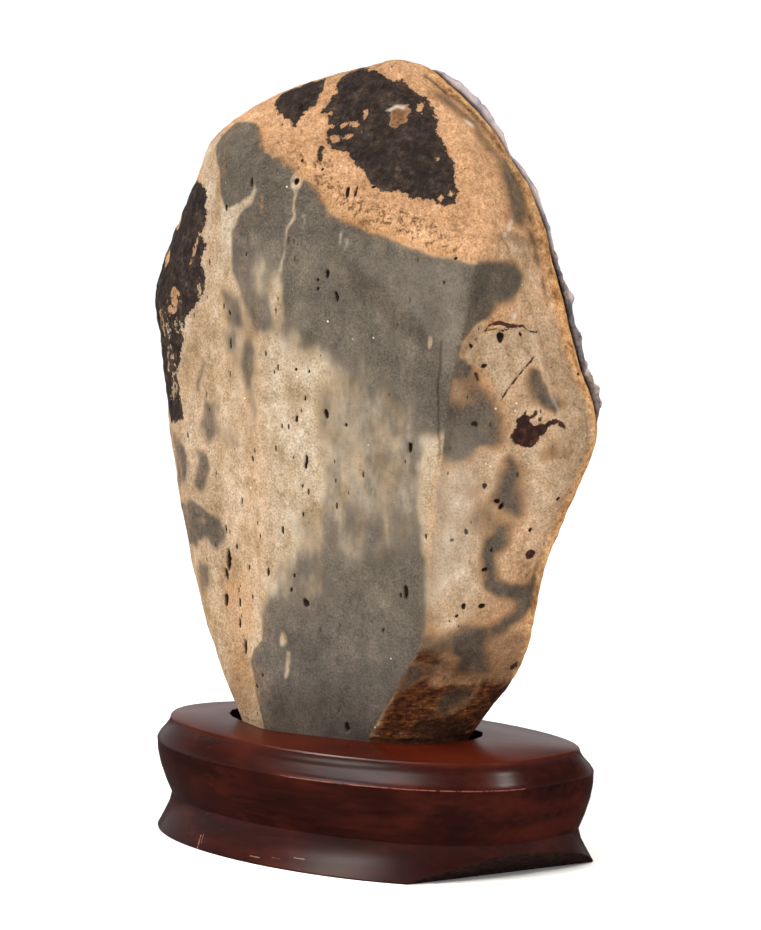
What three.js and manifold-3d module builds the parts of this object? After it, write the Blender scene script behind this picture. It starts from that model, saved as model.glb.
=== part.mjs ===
// A rough rose chalcedony standing upright in a moulded wooden stand.
//
// Millimetres, +Z up. The origin is the centre of the stand's underside, the stone's
// broad ground face looks towards -Y, and the long axis of the stand runs along X.
// Three solids: the stand, the rock, and the chalcedony crust on the rock's back.
import * as THREE from 'three';
import { mergeVertices } from 'three/addons/utils/BufferGeometryUtils.js';
import Module from 'manifold-3d';

const wasm = await Module();
wasm.setup();

// ------------------------------------------------------------ driving dimensions

// The stand: an egg-shaped block planed from a two-inch board.
const STAND_HEIGHT = 45;
const STAND_HALF_LENGTH = 89;
const STAND_HALF_DEPTH = 43;
const STAND_EGG_X = -22; // second harmonic that makes the right end blunter
const STAND_EGG_Y = -10.5;
const STAND_SKEW = 8;
const STAND_CENTRE_X = 20.55; // brings the outline's middle back to the origin
const STAND_SIDES = 48;
const BASE_FLARE = 5.7; // how far the foot of the moulding stands out past the top

// The moulding, as [height share from the top, distance out from the top outline].
const MOULDING = [
  [0.0, -0.7],
  [0.015, 0.0],
  [0.05, 0.4],
  [0.1, 1.9],
  [0.16, 4.3],
  [0.21, 5.4],
  [0.3, 5.2],
  [0.42, 4.2],
  [0.56, 2.2],
  [0.69, -0.2],
  [0.78, 0.8],
  [0.89, 3.3],
  [1.0, BASE_FLARE],
];

// The unfinished bevel under the front right of the block: a point of its floor edge,
// the way that edge runs, and how far the bevel leans out from upright.
const BEVEL_POINT = new THREE.Vector3(61.6, -13, 0);
const BEVEL_RUN = new THREE.Vector3(41, 61.2, 0);
const BEVEL_LEAN_DEG = 51;

// The stone and its foot in the socket.
const SOCKET_DEPTH = 10;
const SOCKET_ROOM_FRONT = 1.4;
const SOCKET_ROOM_ENDS = 4.6;
const TOUCH_GAP = 0.3;
const FOOT_Z = STAND_HEIGHT - SOCKET_DEPTH + TOUCH_GAP;
const CROWN_Z = 300;
const LEVEL_STEP = 6.6;

// The chalcedony crust on the stone's back.
const CRUST_THICKNESS = 5;
const CRUST_EDGE = 0.9;
const CRUST_BOTTOM = 70;
const CRUST_TOP = 296;
const SEAM_END_Z = 166; // the crust draws back from the stone's right edge below this
const LUMP_HEIGHT = 4;
const LUMP_RADIUS = 9;
const LUMP_SPACING = 12.5;
const CRUST_COLUMNS = 28;
// The lumps that stand out along the crust's right rim, as [height, radius, rise].
const RIM_LUMPS = [
  [291, 6, 3.2],
  [281, 7, 3.4],
  [271, 6, 2.6],
  [254, 7, 3.2],
  [240, 8, 1.8],
  [227, 7, 2.4],
  [213, 7, 4.2],
  [201, 6, 4.6],
  [193, 5, 3.4],
  [181, 6, 5],
  [174, 5, 3.6],
];

// ------------------------------------------------------------ the stone's outline
//
// Each rail is a line that runs up the stone, given by a few [z, x, y] points. Going
// round the stone they are: the left edge, the rounded crest of the left flank, two
// lines on the ground face, the ridge where the right facet starts, the middle of that
// facet, the groove, the band and the seam of its rim, and three lines on the back.
// "steps" is the number of faces from a rail to the next one, and a rail with a
// "crease" is a sharp edge up to that height.
const RAILS = {
  left: {
    steps: 6,
    keys: [
      [35, -55, 4], [45, -59.5, 4], [62, -70, 5], [84, -79, 5], [107, -86, 6],
      [155, -95.5, 6], [190, -100, 7], [206, -102.5, 7], [221, -98.5, 8], [243, -88, 8],
      [256, -80.5, 8], [269, -74, 8], [276, -65, 9], [288, -41, 10], [296, -14, 12],
      [300, 3, 13],
    ],
  },
  crest: {
    steps: 5,
    keys: [
      [35, -36, -15], [45, -36.7, -16], [65, -34, -18.5], [90, -32, -20],
      [140, -35, -21.5], [172, -34.5, -22.5], [210, -39, -22], [248, -42, -20.5],
      [268, -43, -17], [278, -40, -9], [288, -27, -2], [296, -7, 5], [300, 4.5, 9.5],
    ],
  },
  faceLeft: {
    steps: 4,
    keys: [
      [35, -17, -16], [45, -17, -17], [90, -7, -21.5], [140, -4.5, -24],
      [190, -4.3, -25], [232, -4, -24.5], [246, -4, -21.5], [262, -3.5, -15],
      [280, -2.5, -6.5], [290, 0, -0.5], [296, 4, 3.5], [300, 8, 8],
    ],
  },
  faceRight: {
    steps: 5,
    keys: [
      [35, 1, -14.5], [45, 2, -15.6], [65, 11, -18.6], [90, 21, -21.5], [140, 24, -24],
      [190, 25, -25], [226, 26, -24.5], [238, 26, -22], [262, 22, -14.5],
      [280, 15, -5.5], [290, 12, 0], [296, 11, 4], [300, 10, 8],
    ],
  },
  ridge: {
    steps: 4,
    crease: 228,
    keys: [
      [35, 7, -12.5], [45, 11.3, -14.2], [64, 23.5, -18], [75, 30.5, -20.5],
      [87, 39.5, -22], [133, 44.5, -23], [171, 49.5, -23], [184, 51.5, -23],
      [211, 58.5, -23], [228, 61.5, -22.5], [245, 57, -14], [264, 49, -8],
      [280, 34, 0], [290, 22, 4], [296, 16, 6.5], [300, 11.5, 9],
    ],
  },
  facet: {
    steps: 4,
    keys: [
      [35, 24, -7], [45, 28, -8], [64, 40.5, -2.5], [87, 54, -4], [133, 62, -4],
      [171, 70.5, -5], [211, 68, -6], [230, 66.5, -5], [247, 62, -2], [264, 52.5, 2],
      [280, 37, 5], [290, 25, 7.5], [296, 18, 9], [300, 12.5, 11],
    ],
  },
  groove: {
    steps: 1,
    keys: [
      [35, 34, 8], [45, 39, 10], [55, 46, 11], [64, 53, 12], [75, 60, 12], [88, 63.5, 12],
      [110, 68, 12], [129, 76, 12], [147, 85, 12], [164, 91.5, 12], [175, 89, 12],
      [184, 84, 12], [196, 77.5, 12], [218, 71.5, 12], [232, 67.5, 12], [246, 64, 12],
      [263, 53.5, 12], [273, 45.5, 12], [283, 35, 12], [289, 26, 12.5], [296, 18.5, 13],
      [300, 12.5, 13.5],
    ],
  },
  band: {
    steps: 1,
    keys: [
      [35, 34.5, 12], [45, 39, 14], [55, 46, 15], [64, 53, 16], [75, 60, 16],
      [88, 63.8, 16], [110, 68, 16], [129, 76, 16], [147, 84.8, 16], [164, 91, 16],
      [175, 89, 16], [188, 83, 16.5], [205, 77.5, 16.5], [231, 69.5, 16.5],
      [247, 65, 16.5], [266, 52, 16.5], [278, 41.5, 16.5], [290, 27.5, 16.5],
      [296, 19.5, 16], [300, 12, 15],
    ],
  },
  seam: {
    steps: 3,
    keys: [
      [35, 33, 17], [45, 37, 19], [55, 44, 20], [64, 51, 21], [75, 58, 22], [88, 62, 22],
      [110, 66, 22], [129, 74, 22], [147, 83, 22], [163, 87.5, 22], [176, 85.7, 22],
      [188, 80.7, 22], [205, 75.5, 22], [223, 70, 22], [232, 67.3, 22], [247, 62.5, 22],
      [256, 57.3, 22], [266, 49.4, 22], [278, 40, 22], [290, 26.5, 21], [296, 18, 19.5],
      [300, 11, 16.5],
    ],
  },
  backRight: {
    steps: 4,
    keys: [
      [35, 20, 23], [45, 22, 26], [64, 34, 29], [88, 44, 31], [129, 55, 33],
      [166, 64, 34], [205, 56, 33.5], [247, 44, 29.5], [266, 35, 28.5], [278, 28, 27.5],
      [290, 18, 25], [296, 13, 22], [300, 9, 17.5],
    ],
  },
  backMiddle: {
    steps: 4,
    keys: [
      [35, -10, 24], [45, -10, 28], [88, -10, 33], [166, -10, 37], [230, -10, 36],
      [266, -10, 32], [285, -5, 27], [296, 2, 21.5], [300, 6.5, 17],
    ],
  },
  backLeft: {
    steps: 4,
    keys: [
      [35, -42, 18], [45, -45, 21], [88, -60, 26], [166, -74, 28], [206, -79, 28],
      [247, -66, 27], [266, -57, 25], [280, -40, 23], [290, -22, 21], [296, -6, 18.5],
      [300, 4, 15.5],
    ],
  },
};
const RAIL_LIST = Object.values(RAILS);
const RIM_COLUMN = columnOf('seam');
const LEFT_BACK_COLUMN = columnOf('backLeft');

// How far round the stone a rail comes, counted in faces from the left edge.
function columnOf(name) {
  const names = Object.keys(RAILS);
  const before = names.slice(0, names.indexOf(name));
  return before.reduce((sum, key) => sum + RAILS[key].steps, 0);
}

// Cubic Hermite blend of two values with the slopes at both ends.
function hermite(a, slopeA, b, slopeB, t) {
  const t2 = t * t;
  const t3 = t2 * t;
  return a * (2 * t3 - 3 * t2 + 1) + slopeA * (t3 - 2 * t2 + t)
    + b * (3 * t2 - 2 * t3) + slopeB * (t3 - t2);
}

// A slope that never overshoots its neighbours (harmonic mean of the two sides).
function gentleSlope(before, after) {
  return before * after <= 0 ? 0 : (2 * before * after) / (before + after);
}

// The point of a rail at height z.
function railPoint(keys, z) {
  const last = keys.length - 1;
  let i = 0;
  while (i < last - 1 && z > keys[i + 1][0]) i += 1;
  const rise = (k) => keys[k + 1][0] - keys[k][0];
  const slope = (k, axis) => (keys[k + 1][axis] - keys[k][axis]) / rise(k);
  const t = THREE.MathUtils.clamp((z - keys[i][0]) / rise(i), 0, 1);
  const value = (axis) => {
    const here = slope(i, axis);
    const start = i > 0 ? gentleSlope(slope(i - 1, axis), here) : here;
    const end = i < last - 1 ? gentleSlope(here, slope(i + 1, axis)) : here;
    return hermite(keys[i][axis], start * rise(i), keys[i + 1][axis], end * rise(i), t);
  };
  return new THREE.Vector3(value(1), value(2), z);
}

// ------------------------------------------------------------ closed stacks of rings

// Joins rings of equally many points, listed from the bottom up and each running
// anticlockwise seen from above, into one closed body with a fan on each end.
function stackOfRings(rings) {
  const sides = rings[0].length;
  const points = rings.flat();
  const faces = [];
  for (let level = 0; level < rings.length - 1; level += 1) {
    for (let side = 0; side < sides; side += 1) {
      const a = level * sides + side;
      const b = level * sides + ((side + 1) % sides);
      faces.push(a, b, b + sides, a, b + sides, a + sides);
    }
  }
  const middleOf = (ring) => ring
    .reduce((sum, point) => sum.add(point), new THREE.Vector3())
    .divideScalar(sides);
  const foot = points.push(middleOf(rings[0])) - 1;
  const head = points.push(middleOf(rings[rings.length - 1])) - 1;
  const top = (rings.length - 1) * sides;
  for (let side = 0; side < sides; side += 1) {
    const next = (side + 1) % sides;
    faces.push(foot, next, side);
    faces.push(head, top + side, top + next);
  }
  const geometry = new THREE.BufferGeometry().setFromPoints(points);
  geometry.setIndex(faces);
  return geometry;
}

// A solid that can be joined and cut, from a closed geometry.
function solidOf(geometry) {
  const bare = geometry.clone();
  bare.deleteAttribute('normal');
  bare.deleteAttribute('uv');
  const merged = mergeVertices(bare, 1e-4);
  return new wasm.Manifold(new wasm.Mesh({
    numProp: 3,
    vertProperties: new Float32Array(merged.attributes.position.array),
    triVerts: new Uint32Array(merged.index.array),
  }));
}

// The geometry of such a solid.
function geometryOf(solid) {
  const mesh = solid.getMesh();
  const geometry = new THREE.BufferGeometry();
  geometry.setAttribute('position', new THREE.BufferAttribute(mesh.vertProperties, 3));
  geometry.setIndex(new THREE.BufferAttribute(mesh.triVerts, 1));
  return geometry;
}

// ------------------------------------------------------------ the rock

// A number from 0 to 1 that depends only on its seed, for places that repeat exactly.
function seededRandom(seed) {
  let state = seed;
  return () => {
    state = (state * 1664525 + 1013904223) % 4294967296;
    return state / 4294967296;
  };
}

// Slow swells of the natural surface, about -1 to 1.
function swell(p) {
  return 0.5 * Math.sin(p.x / 6.1 + p.z / 9.7) * Math.cos(p.z / 7.3 - p.y / 5.9)
    + 0.5 * Math.sin(p.x / 3.7 - p.z / 4.9 + p.y / 3.1);
}

// One level of the rock: its rails joined by curves, with a corner at a creased rail.
function rockRing(z) {
  const corners = RAIL_LIST.map((rail) => railPoint(rail.keys, z));
  const count = corners.length;
  const chord = (k) => corners[(k + 1) % count].clone().sub(corners[(k + count) % count]);
  const tangent = (k, ahead) => {
    if (RAIL_LIST[k].crease > z) return ahead ? chord(k) : chord(k - 1);
    return chord(k).add(chord(k - 1)).multiplyScalar(0.5);
  };
  const ring = [];
  corners.forEach((corner, k) => {
    const next = (k + 1) % count;
    const steps = RAIL_LIST[k].steps;
    const reach = chord(k).length();
    const leave = tangent(k, true).setLength(reach);
    const arrive = tangent(next, false).setLength(reach);
    for (let step = 0; step < steps; step += 1) {
      const t = step / steps;
      const x = hermite(corner.x, leave.x, corners[next].x, arrive.x, t);
      const y = hermite(corner.y, leave.y, corners[next].y, arrive.y, t);
      ring.push(new THREE.Vector3(x, y, z));
    }
  });
  return ring;
}

// The heights of the levels: even steps up the sides, then closer towards the crown.
function rockLevels() {
  const levels = [FOOT_Z, STAND_HEIGHT - 1];
  const sideTop = 272;
  const sideSteps = Math.round((sideTop - STAND_HEIGHT) / LEVEL_STEP);
  for (let i = 1; i <= sideSteps; i += 1) {
    levels.push(STAND_HEIGHT + ((sideTop - STAND_HEIGHT) * i) / sideSteps);
  }
  const crownSteps = 9;
  for (let i = 1; i <= crownSteps; i += 1) {
    const share = i / crownSteps;
    levels.push(sideTop + (CROWN_Z - sideTop) * (1 - (1 - share) ** 1.7));
  }
  return levels;
}

// The direction out of the surface at one point of a grid of rings.
function outward(rings, level, column) {
  const sides = rings[0].length;
  const below = rings[Math.max(level - 1, 0)][column];
  const above = rings[Math.min(level + 1, rings.length - 1)][column];
  const before = rings[level][(column + sides - 1) % sides];
  const after = rings[level][(column + 1) % sides];
  const along = after.clone().sub(before);
  return along.cross(above.clone().sub(below)).normalize();
}

// Whether a place of the grid is on the ground face, which is flat and has no swells.
function onGroundFace(point, column) {
  return column >= columnOf('crest') && column <= columnOf('ridge') && point.z < 228;
}

const plainRings = rockLevels().map(rockRing);
const rockRings = plainRings.map((ring, level) => ring.map((point, column) => {
  const still = point.z < STAND_HEIGHT + 2 || onGroundFace(point, column);
  const lift = still ? 0 : 0.55 * swell(point);
  return point.clone().addScaledVector(outward(plainRings, level, column), lift);
}));

// Open pores of the rock, each [x, z, width, height] on the side that faces -Y.
const PORES = [
  [-46.5, 109, 3.6, 10],
  [-47, 96, 2.2, 5],
  [-41, 87.5, 2, 5],
  [-38, 79, 2, 5],
  [34, 105, 1.8, 5],
  [6, 51.5, 2.4, 6],
  [58.5, 200, 3.4, 5],
  [58, 139, 2.2, 2.6],
  [53, 113, 2.2, 2.6],
  [-4, 190, 1.8, 5],
  [37, 150.5, 2, 4.6],
];
const PORE_DEPTH = 2.6;

// Cuts each pore as a small ellipsoid whose middle is on the surface.
function cutPores(geometry) {
  const target = new THREE.Mesh(geometry);
  const towardsBack = new THREE.Vector3(0, 1, 0);
  return PORES.reduce((solid, [x, z, width, height]) => {
    const ray = new THREE.Raycaster(new THREE.Vector3(x, -200, z), towardsBack);
    const hit = ray.intersectObject(target)[0];
    const pore = new THREE.SphereGeometry(1, 7, 5);
    pore.scale(width / 2, PORE_DEPTH, height / 2);
    pore.translate(hit.point.x, hit.point.y, hit.point.z);
    return solid.subtract(solidOf(pore));
  }, solidOf(geometry));
}

const wholeRock = stackOfRings(rockRings);
const rockGeometry = geometryOf(cutPores(wholeRock));

// ------------------------------------------------------------ the crust

// Moves every point of a closed geometry out along its normal.
function grown(geometry, distance) {
  const copy = geometry.clone();
  copy.computeVertexNormals();
  const position = copy.attributes.position;
  const normal = copy.attributes.normal;
  for (let i = 0; i < position.count; i += 1) {
    position.setXYZ(
      i,
      position.getX(i) + distance * normal.getX(i),
      position.getY(i) + distance * normal.getY(i),
      position.getZ(i) + distance * normal.getZ(i),
    );
  }
  return copy;
}

// The share of the way from the seam (0) to the left back of the stone (1) where the
// crust starts and ends at height z. It narrows to a rounded tip at its lower end.
function crustSpan(z) {
  const start = z > SEAM_END_Z ? 0 : 0.3 * ((SEAM_END_Z - z) / 96) ** 0.7;
  const low = THREE.MathUtils.clamp((175 - z) / 106, 0, 1);
  const high = THREE.MathUtils.smoothstep(z, 255, 300);
  const end = 0.93 - 0.25 * high;
  return [start, start + (end - start) * Math.sqrt(1 - low * low)];
}

// A point of the rock's back and the direction out of it.
function backPoint(level, share) {
  const place = RIM_COLUMN + share * (LEFT_BACK_COLUMN - RIM_COLUMN);
  const column = Math.min(Math.floor(place), LEFT_BACK_COLUMN - 1);
  const mix = place - column;
  const point = rockRings[level][column].clone().lerp(rockRings[level][column + 1], mix);
  const normal = outward(rockRings, level, column)
    .lerp(outward(rockRings, level, column + 1), mix)
    .normalize();
  return { point, normal };
}

const crustLevels = rockRings
  .map((ring, level) => level)
  .filter((level) => rockRings[level][0].z > CRUST_BOTTOM && rockRings[level][0].z < CRUST_TOP);

// The middles of the lumps: seeded places on the back, kept apart from each other.
function lumpCentres() {
  const random = seededRandom(7);
  const centres = [];
  for (let attempt = 0; attempt < 1400; attempt += 1) {
    const level = crustLevels[Math.floor(random() * crustLevels.length)];
    const [start, end] = crustSpan(rockRings[level][0].z);
    const { point } = backPoint(level, start + random() * (end - start));
    const clear = centres.every((c) => c.point.distanceTo(point) > LUMP_SPACING);
    const size = 0.75 + 0.5 * random();
    if (clear) centres.push({ point, radius: LUMP_RADIUS * size, rise: LUMP_HEIGHT * size });
  }
  return centres;
}
const LUMPS = lumpCentres();
const RIM = RIM_LUMPS.map(([z, radius, rise]) => {
  return { point: railPoint(RAILS.seam.keys, z), radius, rise };
});

// The height of the highest rounded lump at one place, out of a list of lumps.
function lumpAt(point, lumps) {
  return lumps.reduce((highest, lump) => {
    const share = lump.point.distanceTo(point) / lump.radius;
    return Math.max(highest, share < 1 ? lump.rise * Math.sqrt(1 - share * share) : 0);
  }, 0);
}

// One level of the crust: out over the lumps from the seam to its left end, and back
// along a line inside the rock, which the cut below takes away.
function crustRing(level, order) {
  const [start, end] = crustSpan(rockRings[level][0].z);
  const ends = Math.min(order, crustLevels.length - 1 - order);
  const endFade = THREE.MathUtils.clamp((ends + 0.2) / 4, 0, 1);
  const ring = [];
  for (let i = 0; i <= CRUST_COLUMNS; i += 1) {
    const share = start + (end - start) * (i / CRUST_COLUMNS);
    const { point, normal } = backPoint(level, share);
    const fromSide = Math.min(i, CRUST_COLUMNS - i);
    const fade = endFade * THREE.MathUtils.clamp(fromSide / 6, 0, 1);
    const body = THREE.MathUtils.lerp(CRUST_EDGE, CRUST_THICKNESS, fade);
    const lumps = (0.1 + 0.9 * fade) * lumpAt(point, LUMPS);
    const lift = body + Math.max(lumps, lumpAt(point, RIM));
    ring.push(point.clone().addScaledVector(normal, lift));
  }
  const innerSteps = 6;
  for (let i = innerSteps; i >= 0; i -= 1) {
    const share = start + (end - start) * (i / innerSteps);
    const { point, normal } = backPoint(level, share);
    ring.push(point.clone().addScaledVector(normal, -4));
  }
  return ring;
}

const crustBlank = stackOfRings(crustLevels.map(crustRing));
const crustSolid = solidOf(crustBlank).subtract(solidOf(grown(wholeRock, TOUCH_GAP)));
const crustGeometry = geometryOf(crustSolid);

// ------------------------------------------------------------ the stand

// A point of the stand's egg-shaped outline at its foot, moved out by some distance.
function standPoint(turn, out, z) {
  const x = STAND_HALF_LENGTH * Math.cos(turn) + STAND_EGG_X * Math.cos(2 * turn)
    + STAND_SKEW * Math.sin(turn) + STAND_CENTRE_X;
  const y = STAND_HALF_DEPTH * Math.sin(turn) + STAND_EGG_Y * Math.sin(2 * turn);
  const alongX = -STAND_HALF_LENGTH * Math.sin(turn) - 2 * STAND_EGG_X * Math.sin(2 * turn)
    + STAND_SKEW * Math.cos(turn);
  const alongY = STAND_HALF_DEPTH * Math.cos(turn) + 2 * STAND_EGG_Y * Math.cos(2 * turn);
  const length = Math.hypot(alongX, alongY);
  return new THREE.Vector3(x + (out * alongY) / length, y - (out * alongX) / length, z);
}

// The whole block, from its foot up to its top.
function standBlock() {
  const rings = [...MOULDING].reverse().map(([share, out]) => {
    const z = STAND_HEIGHT * (1 - share);
    const ring = [];
    for (let side = 0; side < STAND_SIDES; side += 1) {
      ring.push(standPoint((2 * Math.PI * side) / STAND_SIDES, out - BASE_FLARE, z));
    }
    return ring;
  });
  return stackOfRings(rings);
}

// The socket: the outline of the stone's foot with room all round, more at its ends.
function socketBlank() {
  const foot = rockRing(STAND_HEIGHT);
  const bounds = new THREE.Box3().setFromPoints(foot);
  const middle = bounds.getCenter(new THREE.Vector3());
  const halfLength = (bounds.max.x - bounds.min.x) / 2;
  const rim = foot.map((point, i) => {
    const before = foot[(i + foot.length - 1) % foot.length];
    const after = foot[(i + 1) % foot.length];
    const out = new THREE.Vector3(after.y - before.y, before.x - after.x, 0).normalize();
    const share = Math.abs(point.x - middle.x) / halfLength;
    const ends = THREE.MathUtils.smoothstep(share, 0.7, 1) * Math.abs(out.x);
    const room = THREE.MathUtils.lerp(SOCKET_ROOM_FRONT, SOCKET_ROOM_ENDS, ends);
    return point.clone().addScaledVector(out, room);
  });
  const at = (z) => rim.map((point) => point.clone().setZ(z));
  return stackOfRings([at(STAND_HEIGHT - SOCKET_DEPTH), at(STAND_HEIGHT + 5)]);
}

// The block of air that the bevel takes off.
function bevelBlank() {
  const size = 120;
  const box = new THREE.BoxGeometry(size, size, size);
  box.translate(0, -size / 2, 0);
  box.rotateX(THREE.MathUtils.degToRad(BEVEL_LEAN_DEG));
  box.rotateZ(Math.atan2(BEVEL_RUN.y, BEVEL_RUN.x));
  box.translate(BEVEL_POINT.x, BEVEL_POINT.y, BEVEL_POINT.z);
  return box;
}

const standSolid = solidOf(standBlock())
  .subtract(solidOf(socketBlank()))
  .subtract(solidOf(bevelBlank()));
const standGeometry = geometryOf(standSolid);

// ------------------------------------------------------------ the scene graph

function named(name, geometry, colour, roughness) {
  const material = new THREE.MeshStandardMaterial({ color: colour, roughness, metalness: 0 });
  const mesh = new THREE.Mesh(geometry, material);
  mesh.name = name;
  return mesh;
}

const group = new THREE.Group();
group.name = 'rough_rose_chalcedony_on_stand';
group.add(named('stand', standGeometry, 0x4a1d14, 0.35));
group.add(named('rock', rockGeometry, 0x9a876b, 0.8));
group.add(named('chalcedony_crust', crustGeometry, 0xbcb0b4, 0.4));

export default group;
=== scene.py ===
# %% [markdown]
# # A rough rose chalcedony on its wooden stand
#
# The measured solids of this specimen are already made: a stand, the rock that
# stands in it, and the crust of chalcedony on the rock's back. This lesson gives
# them their looks. Everything is in metres and in the solids' own frame, so a
# piece that is built here is already in its place.

import math

import bmesh
import bpy
import numpy as np
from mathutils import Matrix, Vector, noise
from mathutils.bvhtree import BVHTree


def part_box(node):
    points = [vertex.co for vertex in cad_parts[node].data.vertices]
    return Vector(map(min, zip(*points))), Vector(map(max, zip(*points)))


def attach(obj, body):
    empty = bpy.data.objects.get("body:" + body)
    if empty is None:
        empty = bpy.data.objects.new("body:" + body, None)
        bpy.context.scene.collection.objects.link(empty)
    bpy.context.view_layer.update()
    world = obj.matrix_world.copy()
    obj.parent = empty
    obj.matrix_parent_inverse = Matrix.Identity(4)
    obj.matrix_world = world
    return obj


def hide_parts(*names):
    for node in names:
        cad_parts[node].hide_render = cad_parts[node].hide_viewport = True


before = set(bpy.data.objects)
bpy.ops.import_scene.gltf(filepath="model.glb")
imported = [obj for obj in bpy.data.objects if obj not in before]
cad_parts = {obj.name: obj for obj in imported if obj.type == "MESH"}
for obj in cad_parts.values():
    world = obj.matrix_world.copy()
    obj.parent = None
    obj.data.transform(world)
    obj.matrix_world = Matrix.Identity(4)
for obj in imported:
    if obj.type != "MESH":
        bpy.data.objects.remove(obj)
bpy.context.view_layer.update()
MM = 0.001

# %% [markdown]
# ## The camera
#
# A small object is photographed from a few steps away with a long lens, which
# keeps its outline free of strong perspective. The camera looks down by eight
# degrees and comes from the right of the stone's broad face.

# %% Set the camera
camera_data = bpy.data.cameras.new("camera")
camera_data.sensor_width = 36
camera_data.lens = 121.63
camera = bpy.data.objects.new("camera", camera_data)
camera.location = (0.62777, -0.99753, 0.31336)
camera.rotation_euler = (math.radians(82), 0, math.radians(31.889))
bpy.context.scene.collection.objects.link(camera)
bpy.context.scene.camera = camera
print("lens:", camera_data.lens, "mm")

# %% [markdown]
# ## Small helpers
#
# Colours are picked as sRGB hex values, the way a screen shows them, and Blender
# wants them linear, so one function turns them. Another adds a node together with
# its settings and its links, which keeps a material readable from top to bottom.

# %% Colour and node helpers
def linear(code):
    """An sRGB hex colour as linear RGBA."""
    parts = [int(code[i:i + 2], 16) / 255 for i in (1, 3, 5)]
    turned = [p / 12.92 if p <= 0.04045 else ((p + 0.055) / 1.055) ** 2.4 for p in parts]
    return (*turned, 1.0)


def add(tree, kind, inputs=None, stops=None, **settings):
    """A new node with its settings, its ramp stops, and its input values or links."""
    made = tree.nodes.new("ShaderNode" + kind)
    for name, value in settings.items():
        setattr(made, name, value)
    if stops:
        ramp = made.color_ramp
        while len(ramp.elements) < len(stops):
            ramp.elements.new(0.5)
        for element, (place, code) in zip(ramp.elements, stops):
            element.position = place
            element.color = linear(code)
    for key, value in (inputs or {}).items():
        if isinstance(value, bpy.types.NodeSocket):
            tree.links.new(value, made.inputs[key])
        elif isinstance(value, str):
            made.inputs[key].default_value = linear(value)
        else:
            made.inputs[key].default_value = value
    return made


def new_material(name):
    """An empty node material and its tree."""
    material = bpy.data.materials.new(name)
    material.use_nodes = True
    material.node_tree.nodes.clear()
    return material, material.node_tree


# %% [markdown]
# ## Floor and light
#
# A pale floor and a pale surround give the shadowless look of a product table.
# One soft light from the left and above models the stone: its broad face is lit
# almost straight on, and the facet to the right of the ridge turns away from it and
# goes a shade darker. Gloss mirrors a room, and a room that is white all round makes
# dark lacquer look chalky. So glossy rays see a darker room with one lit band, and
# three small soft boxes leave their long highlights on the stand.

# %% Floor, surround and soft light
FLOOR_HALF_WIDTH = 6.0
floor_mesh = bpy.data.meshes.new("floor")
floor_bm = bmesh.new()
bmesh.ops.create_grid(floor_bm, x_segments=1, y_segments=1, size=FLOOR_HALF_WIDTH)
floor_bm.to_mesh(floor_mesh)
floor_bm.free()
floor = bpy.data.objects.new("floor", floor_mesh)
bpy.context.scene.collection.objects.link(floor)
pale_paper, tree = new_material("pale_backdrop_paper")
paper = add(tree, "BsdfPrincipled", {"Base Color": "#fcfbfa", "Roughness": 0.9,
                                     "Specular IOR Level": 0.0})
add(tree, "OutputMaterial", {"Surface": paper.outputs["BSDF"]})
floor_mesh.materials.append(pale_paper)

world = bpy.data.worlds.new("studio")
bpy.context.scene.world = world
world.use_nodes = True
sky = world.node_tree
sky.nodes["Background"].inputs["Strength"].default_value = 1.05
# The band is lit from the horizon to about 17 degrees up, and fades by 30 degrees.
upward = add(sky, "SeparateXYZ", {0: add(sky, "TexCoord").outputs["Generated"]}).outputs["Z"]
room = add(sky, "ValToRGB", {"Fac": upward},
           [(0.0, "#616161"), (0.03, "#e8e8e8"), (0.3, "#e8e8e8"), (0.5, "#6e6e6e")])
seen = add(sky, "Mix", {0: add(sky, "LightPath").outputs["Is Glossy Ray"], 6: "#ffffff",
                        7: room.outputs[0]}, data_type="RGBA")
sky.links.new(seen.outputs[2], sky.nodes["Background"].inputs["Color"])
floor.visible_glossy = False


def soft_light(name, place, target, width, height, power, beam_deg=180, colour="#ffffff"):
    """A soft box at a place, turned to a target, in metres; its grid narrows the beam."""
    data = bpy.data.lights.new(name, "AREA")
    data.shape = "RECTANGLE"
    data.size, data.size_y = width, height
    data.energy = power
    data.color = linear(colour)[:3]
    data.spread = math.radians(beam_deg)
    lamp = bpy.data.objects.new(name, data)
    lamp.location = place
    aim = Vector(target) - Vector(place)
    lamp.rotation_euler = aim.to_track_quat("-Z", "Y").to_euler()
    bpy.context.scene.collection.objects.link(lamp)


soft_light("key_light", (-0.3, -0.9, 1.45), (0, 0, 0.16), 0.5, 0.5, 11)
# Three more with grids are aimed at the stand, so that they gleam in its lacquer.
for name, place, target_z, width, height, power in (
        ("left_light", (-0.69, -0.58, 1.37), 0.02, 0.26, 0.26, 0.43),
        ("right_light", (0.99, -0.28, 1.27), 0.02, 0.24, 0.24, 0.34),
        ("low_light", (-0.42, -1.03, 0.68), 0.0, 0.7, 0.13, 0.32)):
    soft_light(name, place, (0, 0, target_z), width, height, power, 30, "#fff5ec")
bpy.context.scene.view_settings.view_transform = "Standard"
print("lights: four soft boxes and a white surround")

# %% [markdown]
# ## The rock: an even skin
#
# The solid rock is made of long thin triangles, which are fine to measure but
# can't carry any detail. A voxel remesh turns the same shape into small even
# squares, the way a sculptor starts. The squares are 1.9 mm wide, and the front,
# which carries the markings, gets them halved afterwards.

# %% Remesh the rock into an even skin
SKIN_MM = 1.9


def merged_copy(node):
    """The mesh of a solid as a bmesh with its loose triangles joined."""
    bm = bmesh.new()
    bm.from_mesh(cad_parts[node].data)
    bmesh.ops.remove_doubles(bm, verts=bm.verts, dist=0.01 * MM)
    return bm


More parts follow.
